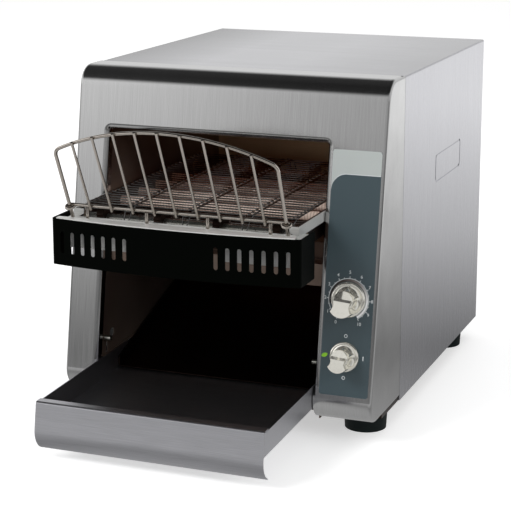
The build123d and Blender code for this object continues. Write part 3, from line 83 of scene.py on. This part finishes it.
camera_place = (0.68418, -1.81452, 0.65812)
camera_yaw = 21.086  # degrees
camera_down = 12.405  # degrees
camera_lens = 115.31  # millimetres
camera_sensor = 36  # millimetres
camera_shift_y = -0.10  # share of the sensor


def add_camera():
    data = bpy.data.cameras.new("camera")
    data.lens = camera_lens
    data.sensor_width = camera_sensor
    data.sensor_fit = "HORIZONTAL"
    data.shift_y = camera_shift_y
    camera = add_object("camera", data)
    camera.location = camera_place
    camera.rotation_euler = (math.radians(90 - camera_down), 0, math.radians(camera_yaw))
    bpy.context.scene.camera = camera


# ---------------------------------------------------------------- node trees

noise_ends = (0.3, 0.7)  # nearly all of a noise lies between these


def colour(value):
    """RGBA from a grey level or three linear channels."""
    channels = (value,) * 3 if isinstance(value, (int, float)) else tuple(value)
    return (*channels, 1.0)


def scaled(tint, factor):
    return tuple(channel * factor for channel in colour(tint)[:3])


class Tree:
    """Short forms for a node tree. Most of them add a node and return its output."""

    def __init__(self, owner):
        owner.use_nodes = True
        self.tree = owner.node_tree
        self.tree.nodes.clear()

    def put(self, value, socket):
        """Links an output to the socket, or sets the socket to a plain value."""
        if isinstance(value, bpy.types.NodeSocket):
            self.tree.links.new(value, socket)
        else:
            socket.default_value = value

    def add(self, kind, settings=(), **inputs):
        """A new node. An input's name is written with _ for a space."""
        node = self.tree.nodes.new(kind)
        for name, value in dict(settings).items():
            setattr(node, name, value)
        for name, value in inputs.items():
            self.put(value, node.inputs[name.replace("_", " ")])
        return node

    def math(self, operation, *values):
        node = self.add("ShaderNodeMath", {"operation": operation})
        for value, socket in zip(values, node.inputs):
            self.put(value, socket)
        return node.outputs[0]

    def from_half(self, value):
        """-1 to 1 becomes 0 to 1."""
        return self.math("MULTIPLY_ADD", value, 0.5, 0.5)

    def place(self, scale=(1, 1, 1)):
        """The point on the object, in metres times scale."""
        where = self.add("ShaderNodeTexCoord").outputs["Object"]
        return self.add("ShaderNodeMapping", Vector=where, Scale=scale).outputs[0]

    def axis(self, vector, name):
        return self.add("ShaderNodeSeparateXYZ", Vector=vector).outputs[name]

    def noise(self, stretch=(1, 1, 1), scale=1.0, detail=2.0):
        place = self.place(stretch)
        return self.add("ShaderNodeTexNoise", Vector=place, Scale=scale, Detail=detail).outputs[0]

    def ramp(self, factor, *stops):
        """A colour ramp from stops of (position, colour or grey level)."""
        node = self.tree.nodes.new("ShaderNodeValToRGB")
        self.put(factor, node.inputs[0])
        ramp = node.color_ramp
        while len(ramp.elements) < len(stops):
            ramp.elements.new(0)
        for element, (position, value) in zip(ramp.elements, stops):
            element.position = position
            element.color = colour(value)
        return node.outputs[0]

    def vary(self, factor, tint, change):
        """The tint, from a little darker to a little brighter along a noise."""
        dark, bright = noise_ends
        return self.ramp(factor, (dark, scaled(tint, 1 - change)), (bright, scaled(tint, 1 + change)))

    def mix(self, factor, first, second, blend="MIX"):
        node = self.add("ShaderNodeMix", {"data_type": "RGBA", "blend_type": blend})
        for value, name in ((factor, "Factor"), (first, "A"), (second, "B")):
            socket = next(each for each in node.inputs if each.name == name and each.enabled)
            self.put(value, socket)
        return next(each for each in node.outputs if each.enabled)

    def levels(self, factor, low, high):
        """0 to 1 becomes low to high."""
        return self.add("ShaderNodeMapRange", Value=factor, To_Min=low, To_Max=high).outputs[0]

    def around(self, factor, middle, spread):
        return self.levels(factor, middle - spread, middle + spread)

    def bump(self, height, strength, distance):
        return self.add("ShaderNodeBump", Height=height, Strength=strength, Distance=distance).outputs[0]

    def join(self, kind, first, second, **inputs):
        """Two shaders joined by a node of this kind."""
        node = self.add(kind, **inputs)
        for shader, socket in zip((first, second), node.inputs[-2:]):
            self.put(shader.outputs[0], socket)
        return node

    def end(self, shader, kind="ShaderNodeOutputMaterial"):
        out = self.add(kind)
        self.put(shader.outputs[0], out.inputs[0])


def new_material(name):
    material = bpy.data.materials.new(name)
    return material, Tree(material)


# ---------------------------------------------------------------- kinds of material
# A grain says how fine the texture is along x, y and z, in specks to a metre.

along_x = (18, 2600, 2600)
along_z_on_front = (2600, 18, 18)
along_z_on_side = (18, 2600, 18)
along_x_on_cover = (3, 420, 420)
along_x_on_tray = (30, 4200, 4200)
fluffy = (120, 120, 400)
even = (300, 300, 300)
film = (900, 900, 900)

fine_detail = 3.0
grain_depth = 0.02 * mm
metal_clouds = 6.0  # to a metre
paint_clouds = 9.0  # to a metre
cloud_rough = 0.02
paint_rough = 0.04
stain_edge = ((0.42, 0.0), (0.62, 1.0))
# Painted reflection on the top cover: its metal is painted brightest between these shares of the casing's width,
# with a wobbling edge.
painted_sheen_middle = (0.32, 0.6)  # shares of the casing's width, from its left edge
painted_sheen_wobble = 0.15
casing_half_w = cad_box[1][0]

quartz_ior = 1.46
coil_turns = 90.0  # waves to a metre
coil_wobble = 0.4
coil_ends = (0.35, 0.65)  # the wave's values at the gaps and on the turns of the coil
coil_depth = 0.05 * mm


def metal(name, tint, rough, grain, streak=0.1, spread=0.05, bump=0.25, stain=None, painted_sheen=None, whole=1.0):
    """Metal with a grain: fine streaks in colour, roughness and height, and large soft clouding.

    stain is the colour of the clouds. The three sheen tones are a painted reflection: how bright the metal is
    painted at the left edge, in the middle and at the right edge of the casing. whole is how much of the surface
    is bare metal.
    """
    material, tree = new_material(name)
    fine = tree.noise(grain, detail=fine_detail)
    cloud = tree.noise(scale=metal_clouds)
    tone = tree.vary(fine, tint, streak)
    if stain is not None:
        tone = tree.mix(tree.ramp(cloud, *stain_edge), tone, colour(stain))
    # Painted reflection: the tone is multiplied by a brightness that is highest across the middle of the casing.
    if painted_sheen is not None:
        left, middle, right = painted_sheen
        start, end = painted_sheen_middle
        across = tree.math("MULTIPLY_ADD", tree.axis(tree.place(), "X"), 0.5 / casing_half_w, 0.5)
        wobble = tree.math("MULTIPLY", tree.math("SUBTRACT", cloud, 0.5), painted_sheen_wobble)
        across = tree.math("ADD", across, wobble)
        light = tree.ramp(across, (0.0, left), (start, middle), (end, middle), (1.0, right))
        tone = tree.mix(1.0, tone, light, "MULTIPLY")
    roughness = tree.math("ADD", tree.around(fine, rough, spread), tree.around(cloud, 0, cloud_rough))
    tree.end(tree.add("ShaderNodeBsdfPrincipled", Base_Color=tone, Metallic=whole, Roughness=roughness,
                      Normal=tree.bump(fine, bump, grain_depth)))
    return material


def solid(name, tint, rough, grain=even, change=0.08, bump=0.1, depth=0.05 * mm, coat=0.0, shine=0.5):
    """Paint, plastic, rubber or ceramic with a fine texture."""
    material, tree = new_material(name)
    fine = tree.noise(grain, detail=fine_detail)
    cloud = tree.noise(scale=paint_clouds)
    both = tree.math("ADD", tree.math("MULTIPLY", fine, 0.5), tree.math("MULTIPLY", cloud, 0.5))
    tree.end(tree.add("ShaderNodeBsdfPrincipled", Base_Color=tree.vary(both, tint, change),
                      Roughness=tree.around(fine, rough, paint_rough), Normal=tree.bump(fine, bump, depth),
                      Coat_Weight=coat, Specular_IOR_Level=shine))
    return material


def ink(name, tint, rough):
    """Ink or printed film, nearly smooth."""
    return solid(name, tint, rough, film, change=0.03, bump=0.06, depth=0.02 * mm)


def shaded_ink(name):
    """Ink whose tone is a number between 0 and 1 that its mesh carries."""
    material, tree = new_material(name)
    shade = tree.add("ShaderNodeAttribute", {"attribute_name": "shade"}).outputs["Fac"]
    grain = tree.math("MULTIPLY", tree.noise(film), 0.04)
    tone = tree.ramp(tree.math("ADD", shade, grain),
                     (0.05, 0.0), (0.35, (0.05, 0.035, 0.03)), (0.55, (0.22, 0.19, 0.18)), (0.8, 0.85))
    tree.end(tree.add("ShaderNodeBsdfPrincipled", Base_Color=tone, Roughness=tree.levels(grain, 0.34, 0.40)))
    return material


def quartz(name, glow):
    """Milky quartz tube lit from inside by its hot coil."""
    material, tree = new_material(name)
    gap, wire = coil_ends
    wave = tree.add("ShaderNodeTexWave", Vector=tree.place(), Scale=coil_turns, Distortion=coil_wobble)
    turns = wave.outputs[0]
    tone = tree.ramp(turns, (gap, (0.62, 0.50, 0.42)), (wire, (0.80, 0.68, 0.60)))
    heat = tree.ramp(turns, (gap, (0.55, 0.06, 0.01)), (wire, (1.0, 0.22, 0.05)))
    tree.end(tree.add("ShaderNodeBsdfPrincipled", Base_Color=tone, Roughness=tree.levels(turns, 0.12, 0.22),
                      IOR=quartz_ior, Emission_Color=heat, Emission_Strength=glow,
                      Normal=tree.bump(turns, 0.15, coil_depth)))
    return material


# ---------------------------------------------------------------- materials by slot


def outer_materials():
    return {
        "casing_steel": metal("front_steel", (0.50, 0.50, 0.50), 0.16, along_z_on_front),
        "side_steel": metal("side_steel", (0.52, 0.52, 0.55), 0.26, along_z_on_side),
        # The top cover carries a painted reflection, brighter in the middle of the casing than at its edges.
        "cover_steel": metal("cover_steel", (0.56, 0.56, 0.585), 0.24, along_x_on_cover,
                             streak=0.14, painted_sheen=(0.40, 1.0, 0.74)),
        "guard_black": solid("guard_black", (0.0, 0.0005, 0.0), 0.6, change=0.1, bump=0.08, shine=0.05),
        "tray_steel": metal("tray_steel", (0.56, 0.56, 0.59), 0.36, along_x_on_tray, streak=0.14),
        "ledge_steel": metal("ledge_steel", (0.74, 0.74, 0.72), 0.38, along_x, whole=0.45),
        # The rack wire's warm, darkened tint is a painted reflection of brown, darker surroundings.
        "rack_wire": metal("rack_wire", (0.56, 0.51, 0.46), 0.16, even, streak=0.04, spread=0.03, bump=0.05),
        "foot_rubber": solid("foot_rubber", (0.004, 0.009, 0.009), 0.6, change=0.15, bump=0.3, shine=0.2),
    }


def chamber_materials():
    return {
        "inner_steel": metal("inner_steel", (0.20, 0.15, 0.12), 0.34, along_z_on_side,
                             stain=(0.11, 0.07, 0.055), whole=0.6),
        "baked_steel": metal("baked_steel", (0.07, 0.045, 0.035), 0.36, along_x, stain=(0.04, 0.025, 0.02)),
        "heated_steel": metal("heated_steel", (0.84, 0.66, 0.40), 0.34, along_x,
                              stain=(0.66, 0.48, 0.28), whole=0.6),
        "belt_wire": metal("belt_wire", (0.26, 0.255, 0.25), 0.25, even, bump=0.1),
        "quartz": quartz("quartz", 0.16),
        "dim_quartz": quartz("dim_quartz", 0.03),
        "ceramic": solid("ceramic", (0.72, 0.69, 0.62), 0.45, change=0.05),
        "insulation": solid("insulation", (0.70, 0.68, 0.60), 0.9, fluffy,
                            change=0.15, bump=0.6, depth=0.4 * mm),
    }


def control_materials():
    return {
        "knob_chrome": metal("knob_chrome", (0.93, 0.91, 0.83), 0.06, even,
                             streak=0.02, spread=0.02, bump=0.04, whole=0.86),
        "label_film": ink("label_film", (0.046, 0.070, 0.081), 0.38),
        "silver_ink": ink("silver_ink", (0.42, 0.45, 0.44), 0.36),
        "pale_ink": ink("pale_ink", (0.62, 0.65, 0.66), 0.40),
        "green_ink": ink("green_ink", (0.22, 0.52, 0.02), 0.40),
        "shaded_ink": shaded_ink("shaded_ink"),
    }


def machine_materials():
    return {
        "zinc_steel": metal("zinc_steel", (0.58, 0.58, 0.56), 0.28, even,
                            streak=0.08, bump=0.1, stain=(0.50, 0.50, 0.44)),
        "bronze": metal("bronze", (0.50, 0.33, 0.16), 0.35, even, bump=0.2),
        "black_plastic": solid("black_plastic", (0.012, 0.012, 0.013), 0.40, change=0.1, bump=0.2),
        "motor_case": metal("motor_case", (0.42, 0.42, 0.41), 0.38, even, spread=0.06, bump=0.2),
        "board_green": solid("board_green", (0.016, 0.11, 0.045), 0.32, coat=0.4),
        "terminal_plastic": solid("terminal_plastic", (0.62, 0.60, 0.54), 0.42, change=0.05, bump=0.15),
    }


materials = outer_materials() | chamber_materials() | control_materials() | machine_materials()

# Nodes that look different from the rest of their slot.
own_finish = {
    "top_cover": "cover_steel",
    "chamber_back": "heated_steel",
    "left_conveyor_rail": "baked_steel",
    "right_conveyor_rail": "baked_steel",
    "front_baffle": "baked_steel",
    "lower_quartz_tubes": "dim_quartz",
    "base_pan": "baked_steel",
    "wall_studs": "zinc_steel",
    "discharge_chute": "baked_steel",
    "idler_sprockets": "baked_steel",
    "drive_sprockets": "baked_steel",
}


def dress_nodes():
    slots = {part["node"]: part["material_slot"] for part in frame["record"]["subparts"]}
    for name, node in nodes.items():
        node.data.materials.clear()
        node.data.materials.append(materials[own_finish.get(name, slots[name])])


# ---------------------------------------------------------------- marks printed on the control label
# Places on the label are pairs of the world's x and z. The label leans back with the front panel.

face_out = Vector(joints["speed_turn"]["axis"])
face_right = Vector((1, 0, 0))
face_up = face_out.cross(face_right)
dial = Vector(joints["speed_turn"]["pos_m"])
mode = Vector(joints["mode_turn"]["pos_m"])
label_low, label_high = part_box("control_label")
# How far the label's face stands out from the plane of the knobs' joints.
label_front = max((vertex.co - dial).dot(face_out) for vertex in nodes["control_label"].data.vertices)
label_corner = 3 * mm
ink_lift = 0.06 * mm

header_foot = label_high.z - 26 * mm
header_bend = 17.5 * mm
header_line = 0.7 * mm
header_steps = 60

mark_line = 0.7 * mm
ring_r = 23 * mm
ring_sweep = math.radians(150)  # the scale's ends, each way from the top
ring_steps = 96
shading = (20.0 * mm, 22.3 * mm)
shading_start = math.radians(-105)
shading_steps = 72
tick_long = 2.4 * mm
tick_short = 1.3 * mm

number_count = 11
number_out = (26.9 * mm, 29.8 * mm)  # the ring of numbers is a little taller than wide
number_size = 5.0 * mm
number_bold = 0.06 * mm

off_mark = (1.9 * mm, 2.1 * mm)
off_over_mode = 22.8 * mm
off_under_mode = 23.2 * mm
on_mark_out = 21.2 * mm
on_mark_h = 4.7 * mm
on_mark_half_w = 0.49 * mm

leaf_out = 23.4 * mm
leaf_half = (4.0 * mm, 2.5 * mm)
leaf_upper = 0.8  # its upper half is this much as wide as its lower half
leaf_swell = 0.75  # 0.5 gives an oval, and 1 gives sharper ends
leaf_lean = math.radians(24)
leaf_steps = 16


def on_label(x, z):
    """The point over the label's face at this x and z."""
    rise = z - dial.z
    slope = -face_out.z / face_out.y
    return dial + face_out * (label_front + ink_lift) + Vector((x - dial.x, slope * rise, rise))


def printed(name, strips, material, shades=None):
    """Ink laid as strips: each strip is a list of pairs of (x, z) points, one on each side."""
    vertices, faces = [], []
    for strip in strips:
        first = len(vertices)
        for low, high in strip:
            vertices += [on_label(*low), on_label(*high)]
        faces += [(first + 2 * i, first + 2 * i + 2, first + 2 * i + 3, first + 2 * i + 1)
                  for i in range(len(strip) - 1)]
    mesh = bpy.data.meshes.new(name)
    mesh.from_pydata(vertices, [], faces)
    mesh.materials.append(materials[material])
    if shades is not None:
        values = mesh.attributes.new("shade", "FLOAT", "POINT").data
        for i, shade in enumerate(shades):
            values[2 * i].value = values[2 * i + 1].value = shade
    add_piece(name, mesh, "chassis")


def arc(centre, radii, start, end, steps):
    """Strip between two radii, with angles clockwise from the top."""
    strip = []
    for i in range(steps + 1):
        turn = start + (end - start) * i / steps
        strip.append([(centre.x + r * math.sin(turn), centre.z + r * math.cos(turn)) for r in radii])
    return strip


def oval(x, z, half_w, half_h, steps=32):
    """Closed line whose outer edge is an oval."""
    strip = []
    for i in range(steps + 1):
        turn = 2 * math.pi * i / steps
        strip.append([(x + (half_w - inset) * math.sin(turn), z + (half_h - inset) * math.cos(turn))
                      for inset in (mark_line, 0)])
    return strip


def tick(turn, length):
    side = mark_line / 2 / ring_r
    return arc(dial, (ring_r, ring_r + length), turn - side, turn + side, 1)


def header():
    """Silver field at the head of the label, with a rounded foot at its left and a pale line along it."""
    field, line = [], []
    left, right = label_low.x, label_high.x
    for i in range(header_steps + 1):
        x = left + (right - left) * i / header_steps
        to_side = max(0, min(x - left, right - x))
        cut = label_corner - math.sqrt(label_corner ** 2 - max(0, label_corner - to_side) ** 2)
        run = max(0, header_bend - (x - left))
        foot = header_foot - header_bend + math.sqrt(header_bend ** 2 - run ** 2)
        field.append([(x, foot), (x, label_high.z - cut)])
        line.append([(x, foot - header_line), (x, foot)])
    printed("label_header", [field], "silver_ink")
    printed("label_header_line", [line], "pale_ink")


def on_mark():
    x = mode.x + on_mark_out
    return [[(x - on_mark_half_w, mode.z + z), (x + on_mark_half_w, mode.z + z)]
            for z in (-on_mark_h / 2, on_mark_h / 2)]


def leaf():
    """Pointed leaf that leans up to the right, left of the mode knob."""
    half_long, half_wide = leaf_half
    cos, sin = math.cos(leaf_lean), math.sin(leaf_lean)
    strip = []
    for i in range(leaf_steps + 1):
        share = -1 + 2 * i / leaf_steps
        along = half_long * share
        swell = half_wide * (1 - share ** 2) ** leaf_swell
        strip.append([(mode.x - leaf_out + along * cos - across * sin, mode.z + along * sin + across * cos)
                      for across in (-swell, swell * leaf_upper)])
    return strip


def number_mesh(name, number):
    """A number in the built-in font as a flat mesh around the origin."""
    text = bpy.data.curves.new(name, "FONT")
    text.body = str(number)
    text.size = number_size
    text.align_x = text.align_y = "CENTER"
    text.offset = number_bold
    text.materials.append(materials["pale_ink"])
    writing = add_object(name, text)
    bpy.context.view_layer.update()
    mesh = bpy.data.meshes.new_from_object(writing.evaluated_get(bpy.context.evaluated_depsgraph_get()))
    bpy.data.objects.remove(writing)
    return mesh


def label_marks():
    step = 2 * ring_sweep / (number_count - 1)
    turns = [-ring_sweep + step * i for i in range(number_count)]
    ring = (ring_r - mark_line / 2, ring_r + mark_line / 2)
    strips = [arc(dial, ring, -ring_sweep, ring_sweep, ring_steps)]
    strips += [tick(turn, tick_long) for turn in turns]
    strips += [tick(turn + step / 2, tick_short) for turn in turns[:-1]]
    strips += [oval(mode.x, mode.z + rise, *off_mark) for rise in (off_over_mode, -off_under_mode)]
    strips.append(on_mark())
    printed("dial_marks", strips, "pale_ink")
    printed("label_leaf", [leaf()], "green_ink")

    band = arc(dial, shading, shading_start, ring_sweep, shading_steps)
    printed("dial_shading", [band], "shaded_ink", [i / shading_steps for i in range(shading_steps + 1)])

    upright = Matrix((face_right, face_up, face_out)).transposed().to_4x4()
    for number, turn in enumerate(turns):
        name = f"dial_number_{number}"
        spot = on_label(dial.x + number_out[0] * math.sin(turn), dial.z + number_out[1] * math.cos(turn))
        mesh = number_mesh(name, number)
        mesh.transform(Matrix.Translation(spot) @ upright)
        add_piece(name, mesh, "chassis")


# ---------------------------------------------------------------- knob faces
# A polished cap on the grip of each knob, leaning up a little towards its lower end.
# u and v run right and up on the knob's face, from its axis.

speed_skirt_r = 19.7 * mm
speed_grip_w = 20.0 * mm
mode_skirt_r = 16.8 * mm
mode_grip_w = 17.4 * mm
knob_gap = 0.6 * mm
grip_h = 25.0 * mm
grip_waist = 0.7 * mm
grip_flare = 1.8 * mm
grip_corner_in = 7.4 * mm
grip_end_in = 1.5 * mm
rest_turn = math.radians(-4.5)
cap_in = 0.35 * mm
cap_lift = 0.1 * mm
cap_lean = math.tan(math.radians(4.0))
cap_side_steps = 12
cap_foot_steps = 24


def three_point_arc(first, middle, last, steps):
    """Points of the circle through three (u, v) points, from the first to the last."""
    a, b, c = (complex(*point) for point in (first, middle, last))
    w = (c - a) / (b - a)
    centre = (b - a) * (w - abs(w) ** 2) / (2j * w.imag) + a
    start, through, end = (math.atan2((point - centre).imag, (point - centre).real) for point in (a, b, c))
    full = 2 * math.pi
    sweep = (end - start) % full
    if (through - start) % full > sweep:
        sweep -= full
    r = abs(a - centre)
    turns = [start + sweep * i / steps for i in range(steps + 1)]
    return [(centre.real + r * math.cos(turn), centre.imag + r * math.sin(turn)) for turn in turns]


def cap_outline(skirt_r, grip_w):
    """The grip's outline, a little smaller: waisted sides and a bowed foot."""
    half = grip_w / 2 - cap_in
    corner = skirt_r - grip_corner_in
    right = three_point_arc((half, -cap_in), (half - grip_waist, -corner / 2), (half + grip_flare, -corner),
                            cap_side_steps)
    left = [(-u, v) for u, v in reversed(right)]
    foot = three_point_arc(right[-1], (0, grip_end_in - skirt_r + cap_in), left[0], cap_foot_steps)
    return right + foot[1:-1] + left


def knob_cap(name, body, seat, skirt_r, grip_w):
    outline = cap_outline(skirt_r, grip_w)
    grip_face = seat + face_out * (label_front + knob_gap + grip_h)
    right = face_right * math.cos(rest_turn) + face_up * math.sin(rest_turn)
    up = face_out.cross(right)
    under = [(u, v, -cap_lift) for u, v in outline]
    over = [(u, v, cap_lift - v * cap_lean) for u, v in outline]
    vertices = [grip_face + right * u + up * v + face_out * lift for u, v, lift in under + over]
    count = len(outline)
    faces = [[count + i for i in reversed(range(count))], list(range(count))]
    faces += [[i, (i + 1) % count, count + (i + 1) % count, count + i] for i in range(count)]
    mesh = bpy.data.meshes.new(name)
    mesh.from_pydata(vertices, [], faces)
    mesh.validate()
    mesh.materials.append(materials["knob_chrome"])
    add_piece(name, mesh, body)


# ---------------------------------------------------------------- wire belt
# Places on the belt are x from its middle, s along its travel and out from the line that its wires follow.

idler = Vector(joints["idler_spin"]["pos_m"])
drive = Vector(joints["drive_spin"]["pos_m"])
belt_r = 17.4 * mm
belt_run = drive.y - idler.y
belt_bend = math.pi * belt_r
belt_loop = 2 * (belt_run + belt_bend)
strand_count = 63
strand_pitch = belt_loop / strand_count
wire_r = 0.85 * mm

# A joint is where a strand reaches forward and hooks over the next one. Its widths are from its middle.
side_joint_x = 70 * mm
joint_up = 1.0 * mm
joint_foot = 4.2 * mm
joint_foot_round = 0.6 * mm
joint_foot_in = 1.4 * mm
joint_foot_up = 0.3 * mm
joint_tip = 2.6 * mm
joint_tip_round = 1.2 * mm
joint_crown = 0.7 * joint_tip
joint_crown_round = 0.1 * mm
joint_over = 1.6 * mm
joint_reach = -strand_pitch - joint_over

belt_edge = 124 * mm
edge_bend = ((0.5 * mm, -0.8 * mm, 0.3 * mm), (0, -2.6 * mm, 0.7 * mm))  # in from the edge, s and out
edge_curl_r = 2.3 * mm
edge_curl_in = 2 * mm
edge_curl_turns = (0, 45, 90, 135, 180, 215)  # degrees


def on_belt(x, s, out):
    """The point on the loop. s starts at the front end of the top run."""
    s %= belt_loop
    r = belt_r + out
    if s < belt_run:
        y, z = s, r
    elif s < belt_run + belt_bend:
        turn = (s - belt_run) / belt_r
        y, z = belt_run + r * math.sin(turn), r * math.cos(turn)
    elif s < 2 * belt_run + belt_bend:
        y, z = 2 * belt_run + belt_bend - s, -r
    else:
        turn = (s - 2 * belt_run - belt_bend) / belt_r
        y, z = -r * math.sin(turn), -r * math.cos(turn)
    return Vector((idler.x + x, idler.y + y, idler.z + z))


def strand_half():
    """One strand from its middle joint to its right edge."""
    half_joint = [
        (joint_crown, joint_reach + joint_crown_round, joint_up),
        (joint_tip, joint_reach + joint_tip_round, joint_up),
        (joint_foot - joint_foot_round, -joint_foot_in, joint_foot_up),
        (joint_foot + joint_foot_round, 0, 0),
    ]
    points = [(0, joint_reach, joint_up)] + half_joint
    points += [(side_joint_x - x, s, out) for x, s, out in reversed(half_joint)]
    points += [(side_joint_x + x, s, out) for x, s, out in half_joint]

    curl_x = belt_edge - edge_curl_r
    points.append((curl_x, 0, 0))
    points += [(belt_edge - x, s, out) for x, s, out in edge_bend]
    for degrees in edge_curl_turns:
        turn = math.radians(degrees)
        points.append((curl_x + edge_curl_r * math.cos(turn),
                       joint_reach + edge_curl_in - edge_curl_r * math.sin(turn), joint_up))
    return points


def wire_belt():
    curve = bpy.data.curves.new("wire_belt", "CURVE")
    curve.dimensions = "3D"
    curve.bevel_depth = wire_r
    curve.bevel_resolution = 2
    curve.use_fill_caps = True
    curve.materials.append(materials["belt_wire"])
    half = strand_half()
    line = [(-x, s, out) for x, s, out in reversed(half[1:])] + half
    for strand in range(strand_count):
        spline = curve.splines.new("POLY")
        spline.points.add(len(line) - 1)
        for point, (x, s, out) in zip(spline.points, line):
            point.co = (*on_belt(x, s + strand * strand_pitch, out), 1)
        spline.use_smooth = True
    belt = add_piece("wire_belt", curve, "chassis")
    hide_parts("conveyor_belt")


# ---------------------------------------------------------------- floor and background
# The floor and the room are white to the camera, and have their own tones for what the metal mirrors.
# A tone's stops are pairs of a place and a grey level.

floor_half = 6.0
floor_white = 0.86
floor_seen = 0.5
floor_mirrored = 1.2
floor_reach = 4.0  # metres from the object that the floor's stops cover
# Painted shade in what the metal mirrors: behind the object the floor is darker the nearer it lies, and in front
# it dips darker close by.
floor_behind_painted_shade = ((0.05, 0.10), (0.10, 0.24), (0.24, 0.55), (0.6, 0.95))
floor_front_painted_shade = ((0.065, 0.50), (0.09, 0.27), (0.125, 0.50), (0.22, 0.45), (0.32, 0.16), (1.0, 0.12))
floor_turn = ((0.35, 0.0), (0.65, 1.0))

# From straight down at 0 to straight up at 1, and across from the left at 0 to the right at 1.
room_front_tone = ((0.495, 0.15), (0.52, 0.36), (0.545, 0.54), (0.58, 0.76), (0.64, 0.66), (0.71, 0.72),
                   (0.77, 0.40), (0.82, 0.03), (1.0, 0.02))
room_behind_tone = ((0.49, 0.4), (0.56, 0.52), (0.66, 0.58), (0.78, 0.3), (0.86, 0.03), (1.0, 0.02))
room_side_tone = ((0.15, 1.0), (0.285, 1.0), (0.345, 0.56), (0.6, 0.5))
room_turn = ((0.42, 0.0), (0.58, 1.0))
room_even = 0.55
room_mirrored = 1.6


def ray_kinds(tree):
    """Two outputs: 1 for rays from the camera, straight or through glass, and 1 for mirrored rays."""
    path = tree.add("ShaderNodeLightPath")
    seen = tree.math("MAXIMUM", path.outputs["Is Camera Ray"], path.outputs["Is Transmission Ray"])
    return seen, path.outputs["Is Glossy Ray"]


def floor_material():
    material, tree = new_material("floor")
    place = tree.place()
    far = tree.add("ShaderNodeVectorMath", {"operation": "LENGTH"}, Vector=place).outputs["Value"]
    far = tree.math("MULTIPLY", far, 1 / floor_reach)
    behind = tree.ramp(tree.from_half(tree.axis(place, "Y")), *floor_turn)
    # The floor that the metal mirrors carries painted shade near the object.
    tone = tree.mix(behind, tree.ramp(far, *floor_front_painted_shade), tree.ramp(far, *floor_behind_painted_shade))
    plain = tree.add("ShaderNodeBsdfDiffuse", Color=colour(floor_white))
    glow = tree.add("ShaderNodeEmission", Color=colour(1.0), Strength=floor_seen)
    mirrored = tree.add("ShaderNodeEmission", Color=tone, Strength=floor_mirrored)
    seen, shiny = ray_kinds(tree)
    white = tree.join("ShaderNodeAddShader", plain, glow)
    shader = tree.join("ShaderNodeMixShader", plain, white, Fac=seen)
    tree.end(tree.join("ShaderNodeMixShader", shader, mirrored, Fac=shiny))
    return material


def add_floor():
    mesh = bpy.data.meshes.new("floor")
    corners = [(x * floor_half, y * floor_half, 0) for x, y in ((-1, -1), (1, -1), (1, 1), (-1, 1))]
    mesh.from_pydata(corners, [], [(0, 1, 2, 3)])
    mesh.materials.append(floor_material())
    floor = add_object("floor", mesh)


def add_world():
    """Even light, and for reflections a studio: dark horizon in front, softboxes above it, dark ceiling."""
    world = bpy.data.worlds.new("studio")
    bpy.context.scene.world = world
    tree = Tree(world)
    direction = tree.add("ShaderNodeTexCoord").outputs["Generated"]
    up = tree.from_half(tree.axis(direction, "Z"))
    side = tree.ramp(tree.from_half(tree.axis(direction, "X")), *room_side_tone)
    front = tree.mix(1.0, tree.ramp(up, *room_front_tone), side, "MULTIPLY")
    behind = tree.ramp(tree.from_half(tree.axis(direction, "Y")), *room_turn)
    room = tree.mix(behind, front, tree.ramp(up, *room_behind_tone))
    even_light = tree.add("ShaderNodeBackground", Color=colour(1.0), Strength=room_even)
    mirrored = tree.add("ShaderNodeBackground", Color=room, Strength=room_mirrored)
    white = tree.add("ShaderNodeBackground", Color=colour(1.0), Strength=1.0)
    seen, shiny = ray_kinds(tree)
    shader = tree.join("ShaderNodeMixShader", even_light, mirrored, Fac=shiny)
    tree.end(tree.join("ShaderNodeMixShader", shader, white, Fac=seen), "ShaderNodeOutputWorld")


# ---------------------------------------------------------------- lamps

lamp_aim = Vector((0, 0, 0.2))
lamps = {  # place, width and height, watts
    "key": ((-1.6, -2.4, 2.2), (1.6, 1.0), 55),
    "fill": ((2.4, -1.6, 1.6), (1.4, 1.0), 18),
    "back": ((0.3, 2.2, 2.4), (1.8, 0.8), 12),
}


def add_lamps():
    """Soft lamps that metal doesn't mirror."""
    for name, (place, size, watts) in lamps.items():
        data = bpy.data.lights.new(name, "AREA")
        data.shape = "RECTANGLE"
        data.size, data.size_y = size
        data.energy = watts
        lamp = add_object(name, data)
        lamp.visible_glossy = False
        lamp.location = place
        lamp.rotation_euler = (lamp_aim - Vector(place)).to_track_quat("-Z", "Y").to_euler()


add_camera()
dress_nodes()
header()
label_marks()
knob_cap("speed_knob_cap", "speed", dial, speed_skirt_r, speed_grip_w)
knob_cap("mode_knob_cap", "mode", mode, mode_skirt_r, mode_grip_w)
wire_belt()
add_floor()
add_world()
add_lamps()
bpy.context.scene.view_settings.view_transform = "Standard"
